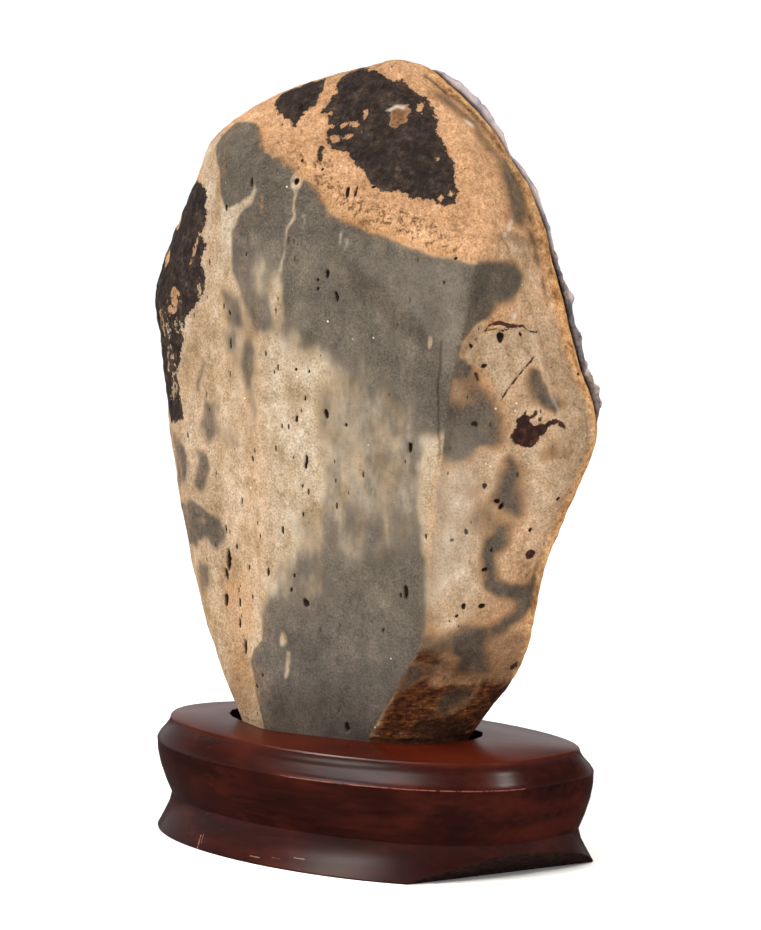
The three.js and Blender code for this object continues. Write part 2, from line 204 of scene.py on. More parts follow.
def even_skin(bm, name, voxel_mm):
    """A new object whose mesh is the bmesh, which it uses up, remeshed into even squares."""
    coarse = bpy.data.meshes.new(name)
    bm.to_mesh(coarse)
    bm.free()
    holder = bpy.data.objects.new(name, coarse)
    bpy.context.scene.collection.objects.link(holder)
    remesh = holder.modifiers.new("even", "REMESH")
    remesh.mode = "VOXEL"
    remesh.voxel_size = voxel_mm * MM
    bpy.context.view_layer.update()
    ready = holder.evaluated_get(bpy.context.evaluated_depsgraph_get())
    skin = bpy.data.meshes.new_from_object(ready)
    holder.modifiers.clear()
    holder.data = skin
    skin.name = name
    skin.materials.clear()
    return holder


def relax(bm, verts, times):
    """Evens out a surface a little, many times over."""
    for _ in range(times):
        bmesh.ops.smooth_vert(bm, verts=verts, factor=0.5, use_axis_x=True,
                              use_axis_y=True, use_axis_z=True)


solid_rock = merged_copy("rock")
solid_rock.normal_update()
rock_tree = BVHTree.FromBMesh(solid_rock)
rock = even_skin(solid_rock, "rock_skin", SKIN_MM)
print("rock skin:", len(rock.data.polygons), "squares")

# %% [markdown]
# ## The rock: its lines
#
# A few lines on the stone guide everything that follows. The ridge parts the
# ground face from the right-hand facet, and the seam is where the crust starts.
# They are given by height, and a place between two heights is interpolated.

# %% Guide lines of the stone, as height in mm and place in mm
RIDGE = {35: 7, 48: 12, 64: 23.5, 75: 30.5, 87: 39.5, 133: 44.5, 171: 49.5, 184: 51.5,
         211: 58.5, 228: 61.5, 245: 57, 264: 49, 280: 34, 290: 22, 300: 11.5}
STRIP = {35: 6, 159: 46.8, 165: 46.1, 180: 46.5, 198: 47.4, 228: 61.3, 300: 11.5}


def along(line, heights):
    """The place of a guide line at each height."""
    return np.interp(heights, list(line), list(line.values()))


print("the ridge runs from", min(RIDGE), "to", max(RIDGE), "mm up")

# %% [markdown]
# The remesh rounds every edge, and the ridge is crisp on the real stone, because
# a grinding wheel made the face that it borders. So the skin is relaxed all over,
# which takes away the facets of the solid, and then the part close to the ridge
# is laid back onto the solid's own surface.

# %% Relax the skin, refine the front, and bring the ridge back
FRONT_Y_MM = 13
FACE_TOP_MM = 236  # the ground face and its crisp ridge end at this height
bm = bmesh.new()
bm.from_mesh(rock.data)
relax(bm, bm.verts, 9)
front_edges = [e for e in bm.edges
               if all(v.co.y < FRONT_Y_MM * MM and v.co.z > 0.043 for v in e.verts)]
bmesh.ops.subdivide_edges(bm, edges=front_edges, cuts=1, use_grid_fill=True)
relax(bm, bm.verts, 3)
for v in bm.verts:
    x, y, z = v.co / MM
    if z > FACE_TOP_MM or y > 5:
        continue
    near = abs(x - along(RIDGE, z))
    keep = min(1.0, max(0.0, (7 - near) / 4)) * min(1.0, (FACE_TOP_MM - z) / 12)
    if keep > 0:
        place = rock_tree.find_nearest(v.co)[0]
        v.co = v.co.lerp(place, keep)
print("after refining:", len(bm.verts), "points")

# %% [markdown]
# ## The rock: a way to mark it
#
# The stone's pattern isn't an image. It is a set of shapes with real sizes:
# outlines, round dabs and strokes, each drawn flat on the side that carries it.
# On the ground face a shape is given as (x, z), and on the right-hand facet as
# (y, z), both in millimetres. Each shape tells how deep inside it a place lies,
# which later gives an edge of any softness.

# %% Shapes that tell how deep inside them a place lies
def line_distance(points, u, v):
    """How far each place is from a line through a few points."""
    nearest = np.full(len(u), 1e9)
    for (au, av), (bu, bv) in zip(points, points[1:]):
        du, dv = bu - au, bv - av
        share = np.clip(((u - au) * du + (v - av) * dv) / (du * du + dv * dv), 0, 1)
        nearest = np.minimum(nearest, np.hypot(u - au - share * du, v - av - share * dv))
    return nearest


def outline(*points):
    """A closed outline."""
    ring = (*points, points[0])

    def depth(u, v):
        inside = np.zeros(len(u), bool)
        for (au, av), (bu, bv) in zip(ring, ring[1:]):
            if av != bv:
                inside ^= ((av > v) != (bv > v)) & (u < (bu - au) * (v - av) / (bv - av) + au)
        nearest = line_distance(ring, u, v)
        return np.where(inside, nearest, -nearest)
    return depth


def dab(cu, cv, ru, rv):
    """An oval with its middle and its two radii."""
    return lambda u, v: (1 - np.hypot((u - cu) / ru, (v - cv) / rv)) * min(ru, rv)


def stroke(width, *points):
    """A line of some width that runs through a few points."""
    return lambda u, v: width / 2 - line_distance(points, u, v)


def deepest(shapes, u, v):
    """How deep a place lies inside whichever shape holds it best."""
    return np.max([shape(u, v) for shape in shapes], axis=0)

# %% [markdown]
# ## The rock: pores and cracks
#
# Gas bubbles left narrow upright pores in the rock, a few cracks cross the facet,
# and a knife-thin saw line runs beside the ridge. The skin's squares are too wide
# for these, so they are halved once more around each one.

# %% Pores and cracks, and a finer skin around them
# Each pore is place, height, width, length and depth, in mm.
FACE_PORES = [
    (-53.2, 108.8, 2.8, 8, 2.4), (-54.9, 102.8, 2.5, 5.5, 2.2), (-55.6, 92.3, 3, 5.4, 1.8),
    (-45.1, 75.3, 2.2, 6.4, 2), (-47.5, 84.8, 1.5, 4.6, 1.2), (-47.1, 93.1, 1.4, 3.4, 1),
    (-47.8, 97.2, 1.1, 2.9, 0.9), (31.8, 105.4, 1.9, 5.6, 2), (29.4, 103.8, 1.1, 2.4, 1),
    (34.7, 159.7, 2.1, 4.1, 2), (-1.4, 169.9, 1.6, 4.4, 1.7), (-10.6, 151, 1.5, 5.6, 1.5),
    (-12.7, 97, 2.4, 3.8, 1.6), (-30, 106.8, 1.6, 3.7, 1.5), (-0.1, 221.8, 1.8, 3.4, 1.8),
    (3.6, 213.7, 1.7, 4.8, 1.8), (-4.6, 219.5, 1.2, 1.8, 0.9), (-4.4, 216.2, 1.2, 2, 0.9),
    (-14.5, 167.1, 1.5, 3.5, 1.3), (2.5, 49.6, 1.8, 4.5, 1.8), (-62.9, 171.3, 1.1, 4, 1),
    (-22, 124.2, 1.4, 3.5, 1.3), (-53.7, 120.4, 1.2, 3.5, 1), (-22.7, 186.2, 1.1, 3.2, 1),
    (-48.6, 192.9, 1.1, 4.6, 1), (-48.8, 181.2, 1.1, 2.9, 0.9), (-48.1, 114.7, 1.1, 2.9, 0.9),
    (-44.1, 133, 1.2, 3.2, 1), (-35, 66, 1.5, 2.2, 1.2), (-41, 107.3, 1.2, 2.1, 0.9),
    (-12.6, 130.7, 0.9, 2.4, 0.8), (41.2, 126.6, 1, 2.4, 0.8), (-14.6, 185.5, 1.2, 1.6, 0.8),
    (-37.3, 149.5, 1.1, 2.4, 0.8), (-35.8, 153.2, 1, 2.4, 0.8), (7.9, 166.5, 1.3, 1.6, 0.9),
    (-17.2, 107.5, 1.1, 2, 0.8), (-10.6, 174.9, 1, 2.4, 0.8), (-12, 141.6, 1, 1.6, 0.8),
    (53.7, 229.4, 1.6, 1.4, 1), (-47.8, 204.7, 1.4, 2, 0.8), (-8.9, 185.2, 0.9, 1.6, 0.7),
    (-23.8, 207, 0.9, 2.9, 0.7), (48.3, 220.5, 1.2, 1.6, 0.8), (-18.9, 101.7, 1.2, 1.6, 0.8),
    (-38.8, 226.5, 1.1, 2, 0.8), (21.9, 89.9, 0.9, 2, 0.8), (-38.8, 60.5, 1.2, 1.8, 0.9),
    (-50.9, 244.1, 1.3, 2.8, 1), (-17.3, 255, 2, 2.8, 1.4), (-36.8, 254.2, 1.2, 4.2, 1.2),
    (-23.6, 282, 2.2, 3.2, 1.3), (4.5, 252.2, 2, 5, 1.5), (8.4, 252.4, 1.2, 4.4, 1),
    (15.6, 253.6, 1.8, 1.2, 0.8), (-8, 259.6, 1, 1.6, 0.7), (-16.5, 263, 1.2, 1.2, 0.7),
]
FACET_PORES = [
    (-11, 201.1, 2.4, 4, 1.8), (-15.6, 168.7, 1.6, 1.9, 1.4), (-4.7, 137.9, 1.7, 2.5, 1.8),
    (-6.4, 139.8, 1.4, 1.9, 1.6), (-11.6, 100.3, 1.6, 2.6, 1.3), (-5.8, 100, 1.7, 2.2, 1.2),
    (-14.2, 128.2, 1.2, 2.6, 1), (-7, 113.6, 1.4, 1.8, 1.5), (-5.8, 120.9, 1, 1.6, 1),
    (9.5, 140.2, 1.2, 2, 1), (-17.7, 125.6, 0.9, 1.2, 0.8), (-13.3, 96.1, 1, 1.4, 0.8),
    (-10.8, 146.1, 1, 2.2, 0.6), (4.5, 127.8, 1.2, 2.2, 0.6), (-3.9, 201.5, 1.4, 1.6, 0.8),
    (-19.3, 197.4, 1, 2.2, 0.9), (-14.9, 190.3, 2, 1.6, 0.8), (-4, 172.4, 0.8, 1.2, 0.5),
]
SAW_LINE = stroke(0.5, (48.2, 199.8), (47.4, 198.3), (46.5, 180.7), (46.1, 164.6), (46.6, 158.5))
THICK_CRACK = stroke(1.5, (-13.5, 205.6), (-11.5, 206), (-9.4, 205.3), (-8, 204.6), (-5, 204.3))
TOP_CRACK = stroke(
    0.9, (-15.9, 203.2), (-15, 205), (-12.9, 206), (-10.7, 206.2), (-8.4, 205.3), (-6.9, 204.2),
    (-4.7, 204.4), (-2.3, 204.3), (-0.6, 202.7), (1.7, 201.8), (3.5, 201.7))
LENS_CRACK = stroke(0.5, (-15.5, 203.4), (-12.6, 203.7), (-10.2, 202.9), (-8.4, 203.5), (-6.6, 203.8))
LOW_CRACK = stroke(
    0.6, (0.3, 192.9), (-2, 190.5), (-4.2, 188), (-6.1, 185.2), (-7.5, 183), (-8.5, 180.9),
    (-9.5, 178.7))
TIP_CRACK = stroke(0.3, (-9.5, 179.1), (-11.3, 181), (-12.5, 183.3), (-12.9, 185.5))
DASH = stroke(1, (-17.2, 187.6), (-16.3, 185.2))
CRACKS = (THICK_CRACK, TOP_CRACK, LENS_CRACK, LOW_CRACK, TIP_CRACK, DASH)


def places_of(bm):
    """The points of a bmesh as an array in mm."""
    return np.array([v.co for v in bm.verts]) / MM


x, y, z = places_of(bm).T
past_ridge = x - along(RIDGE, z)
face_details, facet_details = (
    [dab(u, v, width / 2, length / 2) for u, v, width, length, _ in pores] + lines
    for pores, lines in ((FACE_PORES, [SAW_LINE]), (FACET_PORES, list(CRACKS))))
detail = np.where(past_ridge < 0, deepest(face_details, x, z), deepest(facet_details, y, z))
wanted = (detail > -1.1) & (y < FRONT_Y_MM)
bm.verts.index_update()
fine_edges = [e for e in bm.edges if all(wanted[v.index] for v in e.verts)]
bmesh.ops.subdivide_edges(bm, edges=fine_edges, cuts=1, use_grid_fill=True)
bmesh.ops.triangulate(bm, faces=[f for f in bm.faces if len(f.verts) > 4])
bm.normal_update()
print("after the finer details:", len(bm.verts), "points")

# %% [markdown]
# ## The rock: where each colour goes
#
# The stone has a grey heart. Towards its rind it is bleached cream, and the rind
# itself is stained tan and ochre. A black crust lies on the rind in patches. Each
# of these becomes a number from 0 to 1 at every point of the skin, and the
# material mixes its colours by those numbers. The shapes are brushed in one
# after the other, and each has an edge whose softness is given in millimetres.
# The back can't be known, so it gets the same kinds of patches in the same sizes.

# %% Outlines of the patches
GROUND = outline(
    (-62.5, 267), (-58.4, 272), (-55.3, 275.8), (-41.9, 276.5), (-35.5, 271.2), (-32.8, 265.7),
    (-28.8, 263.6), (-25.3, 264.8), (-21.5, 261.9), (-16.7, 258.3), (-12.9, 255.8), (-8.9, 254.4),
    (-5.9, 250.1), (-1.7, 244.1), (2.4, 242.1), (8.1, 241.2), (13.4, 238), (20.2, 236.8), (26.4, 234.8),
    (38.8, 232.1), (49.3, 229.6), (58.9, 227.7), (70, 227.5), (70, 160), (60, 120), (50, 90),
    (34, 74.8), (26, 62.7), (14, 45), (12, 36), (-36, 36), (-36, 45.5), (-39.1, 55.3), (-39.8, 61.6),
    (-42.1, 69.9), (-39.5, 75), (-34.6, 79.8), (-34.1, 91.6), (-29, 99), (-20, 104), (-14.3, 114),
    (-5.1, 121.8), (1, 133.5), (-1, 144.7), (-2, 163.6), (0, 175), (2.5, 184.5), (0.8, 190.8),
    (-4.6, 192.7), (-7.3, 191), (-12.7, 192.2), (-17.2, 195.7), (-30.4, 196.4), (-38.5, 198.9),
    (-40, 206.4), (-42.2, 213.8), (-47, 221), (-47.6, 228.5), (-46.8, 236.1), (-42.2, 243.1),
    (-35.6, 246.8), (-34.3, 251.7), (-36.8, 249), (-42.3, 246.5), (-48.3, 242.8), (-51.7, 245.3),
    (-54.9, 250.8), (-57.9, 260.1))
CAP = outline(
    (-15.9, 280.6), (-13.1, 282.5), (-11.3, 285.8), (-11, 289.4), (-11.1, 293.1), (-9.2, 295.3),
    (-4.8, 296.5), (1, 296.1), (6.5, 294.7), (9.1, 292.6), (13.1, 291.9), (15, 292.6), (18.7, 289.7),
    (22.7, 286.5), (25.5, 286.5), (28.6, 283.6), (31.3, 280), (34.6, 274.7), (38.4, 270.5),
    (42.2, 265.9), (45.7, 261.3), (47.2, 257.1), (48.5, 252.9), (48.1, 249.3), (45.1, 247.8),
    (41.3, 248.8), (38.7, 250.5), (35.4, 249.4), (32.2, 250), (28.6, 251.8), (25.4, 253.1),
    (22.2, 252.7), (18, 253.3), (14.4, 255.4), (12.3, 257.5), (9.9, 260), (6.3, 261.7), (3.3, 264.1),
    (-1.2, 266.6), (-5.9, 267.2), (-8.3, 270.5), (-9.9, 273.4), (-10.6, 277.7), (-12.3, 280.3))
FLECK = outline((14.6, 282.4), (18.8, 284.3), (21.6, 282), (21.8, 278), (18.5, 275.4), (15.4, 277.2))
SMALL_CAP = outline(
    (-34.1, 280.3), (-37.7, 283.9), (-37.5, 287.2), (-30.2, 289.9), (-28.7, 291.7), (-18.7, 292.3),
    (-17, 287.9), (-18.1, 283.5), (-21.1, 280.5), (-22.9, 276.8), (-22.4, 274.7), (-25.7, 276.8),
    (-29.9, 278.9))
DRIP = outline((-11, 268.6), (-8.7, 268.3), (-9.3, 265), (-8.6, 261.2), (-10.8, 262), (-10.8, 265.7))
LEFT_BAND = outline(
    (-72.9, 253.6), (-64.4, 249.9), (-64, 240.5), (-65.8, 233.2), (-62.2, 229.6), (-65, 224.9),
    (-62.4, 215.1), (-63.6, 211.9), (-67.1, 206.7), (-76.1, 201), (-78.2, 190.3), (-79.8, 183.9),
    (-82.7, 177.3), (-81, 171.2), (-78.5, 161.7), (-82, 159.3), (-90, 158), (-99, 176), (-106, 188),
    (-108, 210), (-102, 224), (-96, 236), (-84, 248))
LEFT_SIDE = outline(
    (-62, 218), (-74, 206), (-100, 190), (-100, 130), (-90, 100), (-76, 70), (-62, 40), (-30, 40),
    (-30, 218))
INCLUSION = outline(
    (-21.8, 195.7), (-19.1, 199.2), (-17.6, 202.1), (-14.8, 203.5), (-9.4, 205), (-4, 204),
    (2.4, 201.1), (2.1, 196), (0.3, 192.9), (-6.1, 185.2), (-9.5, 178.7), (-12.5, 183.3),
    (-13.7, 188.1), (-16.9, 190.4), (-19.8, 191.2))
HALO = stroke(2.4, (-21.6, 194.6), (-21.4, 198.3), (-19.4, 201.4), (-17.8, 204.7), (-15.1, 206.8))
IRON_SPOT = outline(
    (-6.7, 164.2), (-6.6, 166.5), (-6.5, 168.7), (-5.9, 170.5), (-4.8, 172), (-3.2, 170.8),
    (-2.9, 168.6), (-1.9, 167.8), (-0.3, 168.1), (1, 167.8), (3, 169.6), (3.2, 168.9), (1.3, 166.3),
    (-0.2, 163.7), (-1, 161.1), (-2.3, 160.4), (-4.2, 161.2), (-5.7, 162.3))
UNDERSIDE = outline(
    (-24, 86), (-21.5, 78), (-19, 66), (-15, 45), (-12, 30), (30, 30), (30, 70), (16, 68), (4, 70),
    (-8, 76), (-15, 81))
BY_RIDGE_HIGH = outline(
    (-23, 88.7), (-18.5, 88.6), (-15.4, 87.6), (-14.4, 83.5), (-17.9, 83), (-22, 82))
BY_RIDGE_LOW = outline((-22, 79.4), (-18, 78), (-14.4, 72.7), (-15.3, 70.3), (-16.8, 67.4), (-18.5, 65))
LOW_SQUARE = outline(
    (-12.3, 89.6), (-7.7, 90.7), (-3.1, 89.2), (-0.4, 84.2), (0.7, 78.1), (3.8, 73), (0.5, 72.3),
    (-6.5, 75.5), (-10, 82.3))
LOWEST = outline(
    (-5.7, 62.1), (-4.1, 65.2), (-0.7, 66.6), (3.9, 66.7), (4, 62.2), (2.1, 58.2), (-1.1, 55.3),
    (-4.7, 55.6))

# %% [markdown]
# Each point of the skin has a share in every side. The shares fade where two sides
# meet, so a patch can run a little way round an edge. A brush lays its shapes onto
# one side after the other, and a later shape covers what lies under it.

# %% Lay out the sides, and a brush
skin = rock.data
bm.to_mesh(skin)
skin_points = places_of(bm)
bm.free()
count = len(skin_points)
x, y, z = skin_points.T
normals = np.empty(count * 3)
skin.vertex_normals.foreach_get("vector", normals)
past_ridge = x - along(RIDGE, z)


def eased(amount):
    """A value from 0 to 1 with soft ends."""
    amount = np.clip(amount, 0, 1)
    return amount * amount * (3 - 2 * amount)


def wander(size_mm, seed, octaves=1):
    """Smooth random values from about -1 to 1, whose bumps have a size in mm."""
    shift = Vector((17.1, 3.7, 9.3)) * seed
    return np.array([noise.fractal(Vector(p) / size_mm + shift, 1.0, 2.0, octaves)
                     for p in skin_points])


def brushed(*groups):
    """A value per point: each group is a side and layers of shape, softness and value."""
    value = np.zeros(count)
    for (u, v, allowed), *layers in groups:
        for shape, edge, level in layers:
            value += (level - value) * eased(0.5 + shape(u, v) / (2 * edge)) * allowed
    return value


def percent(chosen):
    """How much of the skin is chosen, as text."""
    return f"{100 * np.mean(chosen):.0f} %"


# Real stains wobble, so the places are bent a little before a shape reads them.
bend_x, bend_y, bend_z = (0.9 * wander(8, seed) + 0.5 * wander(2.8, seed + 3)
                          for seed in (11, 12, 13))
far_x, far_y, far_z = (2.3 * wander(13, seed) + 1.1 * wander(4.5, seed + 3)
                       for seed in (21, 22, 23))
back_starts = 15.5 + 5 * wander(20, 31) * eased((-50 - x) / 15)
in_front = eased((back_starts - y) / 3)
over_ridge = np.interp(z, [150, 165], [0, 5])
ridge_edge = np.interp(z, [80, 95, 150, 170], [0.7, 5, 5, 1.2])
face_share = eased(0.5 + (over_ridge - past_ridge) / (2 * ridge_edge)) * in_front
facet_share = eased(0.5 + past_ridge) * eased((24 - y) / 2)
ON_FACE = (x + bend_x, z + bend_z, face_share)
ON_FACET = (y + bend_y, z + bend_z, facet_share)
SOFT_FACE = (x + far_x, z + far_z, face_share)
SOFT_FACET = (y + far_y, z + far_z, facet_share)
ON_RIM = (y + bend_y, z + bend_z, eased(0.5 + past_ridge))
ON_BACK = (x + far_x, z + far_z, eased((y - back_starts) / 4))
print("facet:", percent(past_ridge > 0), "of the points, back:", percent(y > back_starts))

# %% [markdown]
# The grey heart fills the middle of the ground face. Its border is crisp near the
# top and soft lower down, and clouds and streaks of cream run into it. Loose
# patches of it lie in the cream at the left, on the facet and on the back.

# %% Brush the grey heart
softer = np.interp(z, [0, 80, 95, 112, 135, 180, 198, 207, 300], [1.1, 1.4, 6, 10, 7, 10, 8, 2, 1.1])
grey = brushed(
    (ON_FACE, (GROUND, softer, 1)),
    (SOFT_FACE, (dab(21, 150, 22, 28), 13, 0.5), (dab(6, 157, 11, 30), 8, 0.44),
     (dab(4, 125, 18, 9), 8, 0.61), (dab(-8, 126, 6, 11), 6, 0.36), (dab(-12, 104, 12, 9), 7, 0.62),
     (outline((39.5, 162), (50, 166), (50, 100), (43, 104), (40, 118), (38.5, 140)), 4, 0.1)),
    (ON_FACE, (stroke(2.4, (-51, 242.5), (-44.5, 245.5)), 0.9, 0.1),
     (stroke(1, (-44.5, 245.5), (-36, 248), (-35, 253.5)), 0.9, 0.3),
     (stroke(0.6, (-35, 253.5), (-36, 261), (-33, 263.5)), 0.8, 0.6), (dab(-17.3, 255.5, 2.4, 4), 1, 0),
     (stroke(1.3, (-17, 251), (-17, 243), (-19, 235.5), (-20.5, 229), (-21.5, 222)), 0.9, 0.25)),
    (SOFT_FACE, (dab(-44, 192, 7, 24), 7, 0.32), (dab(-32.2, 220, 4, 8), 4, 0.35),
     (dab(-24, 210, 3.8, 10), 3.6, 0.08), (dab(-29, 187, 6.5, 9), 5, 0.12),
     (dab(-7, 187, 8, 6), 6, 0.25), (dab(-17, 196, 5, 5), 5, 0.5), (dab(-38.9, 187, 4.6, 7), 4, 0.86)),
    (ON_FACE, (dab(-39, 230, 1.2, 6), 1.2, 0.7)),
    (SOFT_FACE, (outline((-52.7, 213.1), (-42.2, 211.9), (-40.8, 200.6), (-48.3, 198.9),
      (-51.3, 205.6)), 3.2, 0.75),
     (outline((-52.9, 197.8), (-44.9, 197.6), (-44.1, 191.6), (-50, 189.6)), 3, 0.6),
     (dab(-38, 186, 2, 9), 2, 0.9), (dab(-36, 166, 2, 9), 2.5, 0.4),
     (outline((-54.9, 160.1), (-43.6, 161), (-43.7, 154.1), (-51.6, 150.9)), 3.2, 0.5),
     (dab(-27, 193, 3, 5), 3, 0.15), (dab(-46, 172, 2.4, 8), 2.8, 0.3),
     (stroke(2.5, (-66, 185), (-67.5, 174)), 2.4, 0.7),
     (outline((-63.9, 172.5), (-57.5, 170.4), (-55, 158), (-61.9, 152.5), (-65.5, 160.1)), 3.2, 0.72),
     (outline((-69.9, 151.6), (-63.6, 148.5), (-62.5, 140.8), (-66, 131.7), (-71.7, 133.9),
      (-72, 143.6)), 3.2, 0.85),
     (outline((-88.2, 155), (-77, 150.8), (-75.2, 143.1), (-79.1, 134.8), (-86.5, 133.5),
      (-89.3, 143.3)), 3.4, 0.75),
     (outline((-86, 127), (-69.1, 128.1), (-64.2, 125.2), (-55.7, 124.7), (-54.6, 116.9), (-60.9, 111),
      (-67.7, 114.5), (-75.5, 110), (-85.9, 110.1)), 3.2, 0.95), (dab(-70, 121, 4, 2), 2, 0.5),
     (outline((-73.6, 105.8), (-64.2, 104.9), (-66.4, 94.5), (-73.4, 89), (-76.7, 94.9)), 3.2, 0.6),
     (dab(-70, 192, 2.4, 10), 2.8, 0.35), (dab(-60, 209, 1.8, 8), 2.6, 0.35),
     (dab(-56, 66, 3, 10), 3.6, 0.45)),
    (ON_FACE, (dab(-23.5, 81.5, 1.8, 2.4), 1.2, 0.2),
     (stroke(1.4, (-21.4, 77), (-21.6, 73), (-23.2, 66.5)), 1.2, 0.2),
     (dab(43.5, 198.5, 0.9, 2.4), 0.7, 0.1)),
    (ON_FACET, (outline((-27, 229), (-11.4, 226.9), (-4.1, 227.6), (-0.6, 222.6), (-1.9, 217),
      (-5.8, 214.1), (-12.7, 212.4), (-16.3, 209.4), (-19.4, 204.4), (-22, 198.6), (-27, 196)), 3.2, 1),
     (outline((-24, 184), (-21.5, 187.5), (-19.2, 186), (-17.4, 188), (-15.8, 184.2), (-13.6, 180.4),
      (-11.4, 175.8), (-9.4, 171.2), (-8.8, 162.8), (-9.4, 159.5), (-13.8, 160), (-15.6, 154.8),
      (-20.3, 154.6), (-24, 157.7)), 3, 1)),
    (SOFT_FACET, (dab(-21.5, 180.5, 4, 5), 3, 0.45)),
    (ON_FACET, (HALO, 1, 0.05), (INCLUSION, 1.2, 0)),
    (SOFT_FACET, (outline((-7.8, 155.5), (-5.8, 157), (-3, 152), (-1, 147.5), (1.5, 139.8),
      (2.1, 133.9), (0, 132.1), (-3.4, 135.4), (-6, 140), (-7, 147)), 3, 1),
     (dab(-13, 143.5, 3, 3.2), 2.5, 0.5),
     (outline((-4.3, 133), (-1.8, 130.3), (-1, 124), (-3, 118), (-2, 111.3), (-6.4, 110.5),
      (-9.4, 117.6), (-8.4, 124), (-6.4, 130.6)), 3, 1), (dab(-9, 134, 4, 5), 3.5, 0.6),
     (stroke(7, (-5, 108.5), (4.5, 104), (14, 102)), 2.6, 1), (dab(14, 105, 4, 7), 2.8, 1),
     (stroke(7, (12, 102), (7, 95), (1, 90)), 3, 0.9), (BY_RIDGE_HIGH, 2.2, 1), (BY_RIDGE_LOW, 2.2, 1),
     (dab(-9, 88, 4, 5), 4, 0.6), (dab(-14, 86.5, 9, 4), 4, 0.7), (LOW_SQUARE, 2.6, 1.05),
     (LOWEST, 2.2, 1), (stroke(5, (-0.9, 186), (0.3, 179.1), (2.4, 174.4)), 2.2, 1),
     (dab(2.5, 158, 2.2, 4), 2.2, 0.6),
     (outline((18, 268), (11.3, 266), (6, 263), (2, 256), (-1, 249), (-2.5, 243), (2, 240), (7, 240),
      (11, 243), (13, 248), (16, 257)), 4, 0.8), (stroke(5, (9, 287), (9, 277), (8, 268)), 3.6, 0.7)),
    (ON_BACK, (dab(-86, 148, 8, 20), 3, 1), (dab(-58, 86, 16, 9), 3, 0.95),
     (dab(-72, 96, 5, 12), 2.4, 0.9), (dab(-70, 234, 5, 12), 2.6, 0.95),
     (dab(-62, 244, 4, 8), 2.4, 0.8), (dab(30, 72, 14, 6), 3, 0.8)))
print("grey covers", percent(grey > 0.5), "of the points")

# %% [markdown]
# Round the grey the stone is bleached cream. Iron came in from the rind: it stained
# borders and cracks ochre, and left the break at the bottom right fibrous and brown.
# The tan rind has a zone of small pits, and the lowest grey is a little cooler.

# %% Brush the cream and the iron stains
cream = brushed(
    (ON_FACE, (stroke(20, (-62, 262), (-57, 240), (-58, 225), (-57, 205), (-58, 190)), 3, 0.8),
     (outline((-52, 250), (-30, 268), (10, 236), (70, 226), (60, 120), (34, 76), (12, 36), (-28, 36),
      (-30, 84), (-40, 90), (-47, 118), (-54, 150), (-57, 180), (-57, 215)), 4, 1),
     (LEFT_SIDE, 4, 0.82), (dab(-34.5, 134.5, 6, 26), 5, 0.7), (dab(-52, 76, 9, 26), 6, 0.6)),
    (ON_FACET, (dab(-16, 125, 13, 38), 6, 0.85), (dab(3, 165, 14, 52), 7, 0.65),
     (dab(-2, 226, 10, 10), 5, 0.6), (INCLUSION, 1.4, 0.8), (dab(2, 127, 3, 7), 2, 0.35)),
    (ON_BACK, (dab(-80, 160, 22, 48), 10, 0.75), (dab(0, 80, 60, 20), 10, 0.5)))
ochre = brushed(
    (ON_FACE, (dab(-58, 262, 8, 14), 5, 0.3),
     (stroke(4, (-38, 275), (-33, 268), (-27, 265), (-12, 257), (0, 244.5), (14, 239.5), (40, 233.5),
      (60, 229.5)), 2.6, 0.75), (LEFT_SIDE, 4, 0.22)),
    (SOFT_FACE, (dab(-45, 228, 14, 14), 5, 0.15)),
    (ON_FACE, (stroke(7, (-68, 200), (-72, 175), (-88, 150), (-80, 110), (-62, 70), (-50, 50)), 5, 0.4),
     (dab(-34.5, 134.5, 4.5, 26), 4, 0.25), (dab(-44, 90, 5, 12), 4, 0.6)),
    (SOFT_FACE, (dab(-47, 60, 7, 14), 4, 0.6)),
    (ON_FACE, (outline((2, 226.3), (10, 226), (42, 204), (13.9, 207.4), (6.3, 212.6)), 1.6, 0.07),
     (stroke(1.2, (-30.9, 249), (-31.1, 246.2), (-31.7, 243.6)), 0.8, 0.7)),
    (ON_FACET, (HALO, 1.2, 0.75),
     (stroke(3, (-18, 184), (-13, 178), (-10, 173), (-8, 160), (-9, 154)), 2, 0.7),
     (dab(6, 112, 8, 8), 3, 0.5), (dab(-14, 103, 10, 8), 4, 0.5),
     (outline((-0.9, 86), (4, 90), (12, 86), (15, 78), (9.9, 73), (5, 70), (3, 76)), 2, 0.8),
     (stroke(3, (12.6, 196), (10.6, 186), (12.5, 177), (13.6, 168)), 1.4, 0.6),
     (stroke(1.6, (-6.3, 232), (-4.4, 224.6), (1.5, 213.6), (5, 202.4), (4.9, 188), (6.5, 177),
      (7.9, 166)), 1.2, 0.6)),
    (SOFT_FACET, (outline((-12, 148), (-5, 142), (8, 120), (12, 94), (-6, 88), (-12, 100)), 5, 0.4),
     (dab(-2, 82, 14, 8), 4, 0.25)),
    (ON_FACE, (dab(-50, 62, 4, 18), 4, 0.7), (dab(-52, 96, 4, 9), 4, 0.7)),
    (ON_FACET, (dab(10, 240, 5, 6), 4, 0.5)),
    (SOFT_FACET, (dab(6, 172, 5, 22), 4, 0.4)),
    (ON_FACET, (dab(0, 150, 18, 66), 8, 0.12)),
    (ON_BACK, (dab(-60, 252, 20, 18), 8, 0.5), (dab(-36, 76, 30, 12), 8, 0.45),
     (dab(-88, 176, 10, 8), 6, 0.6)))
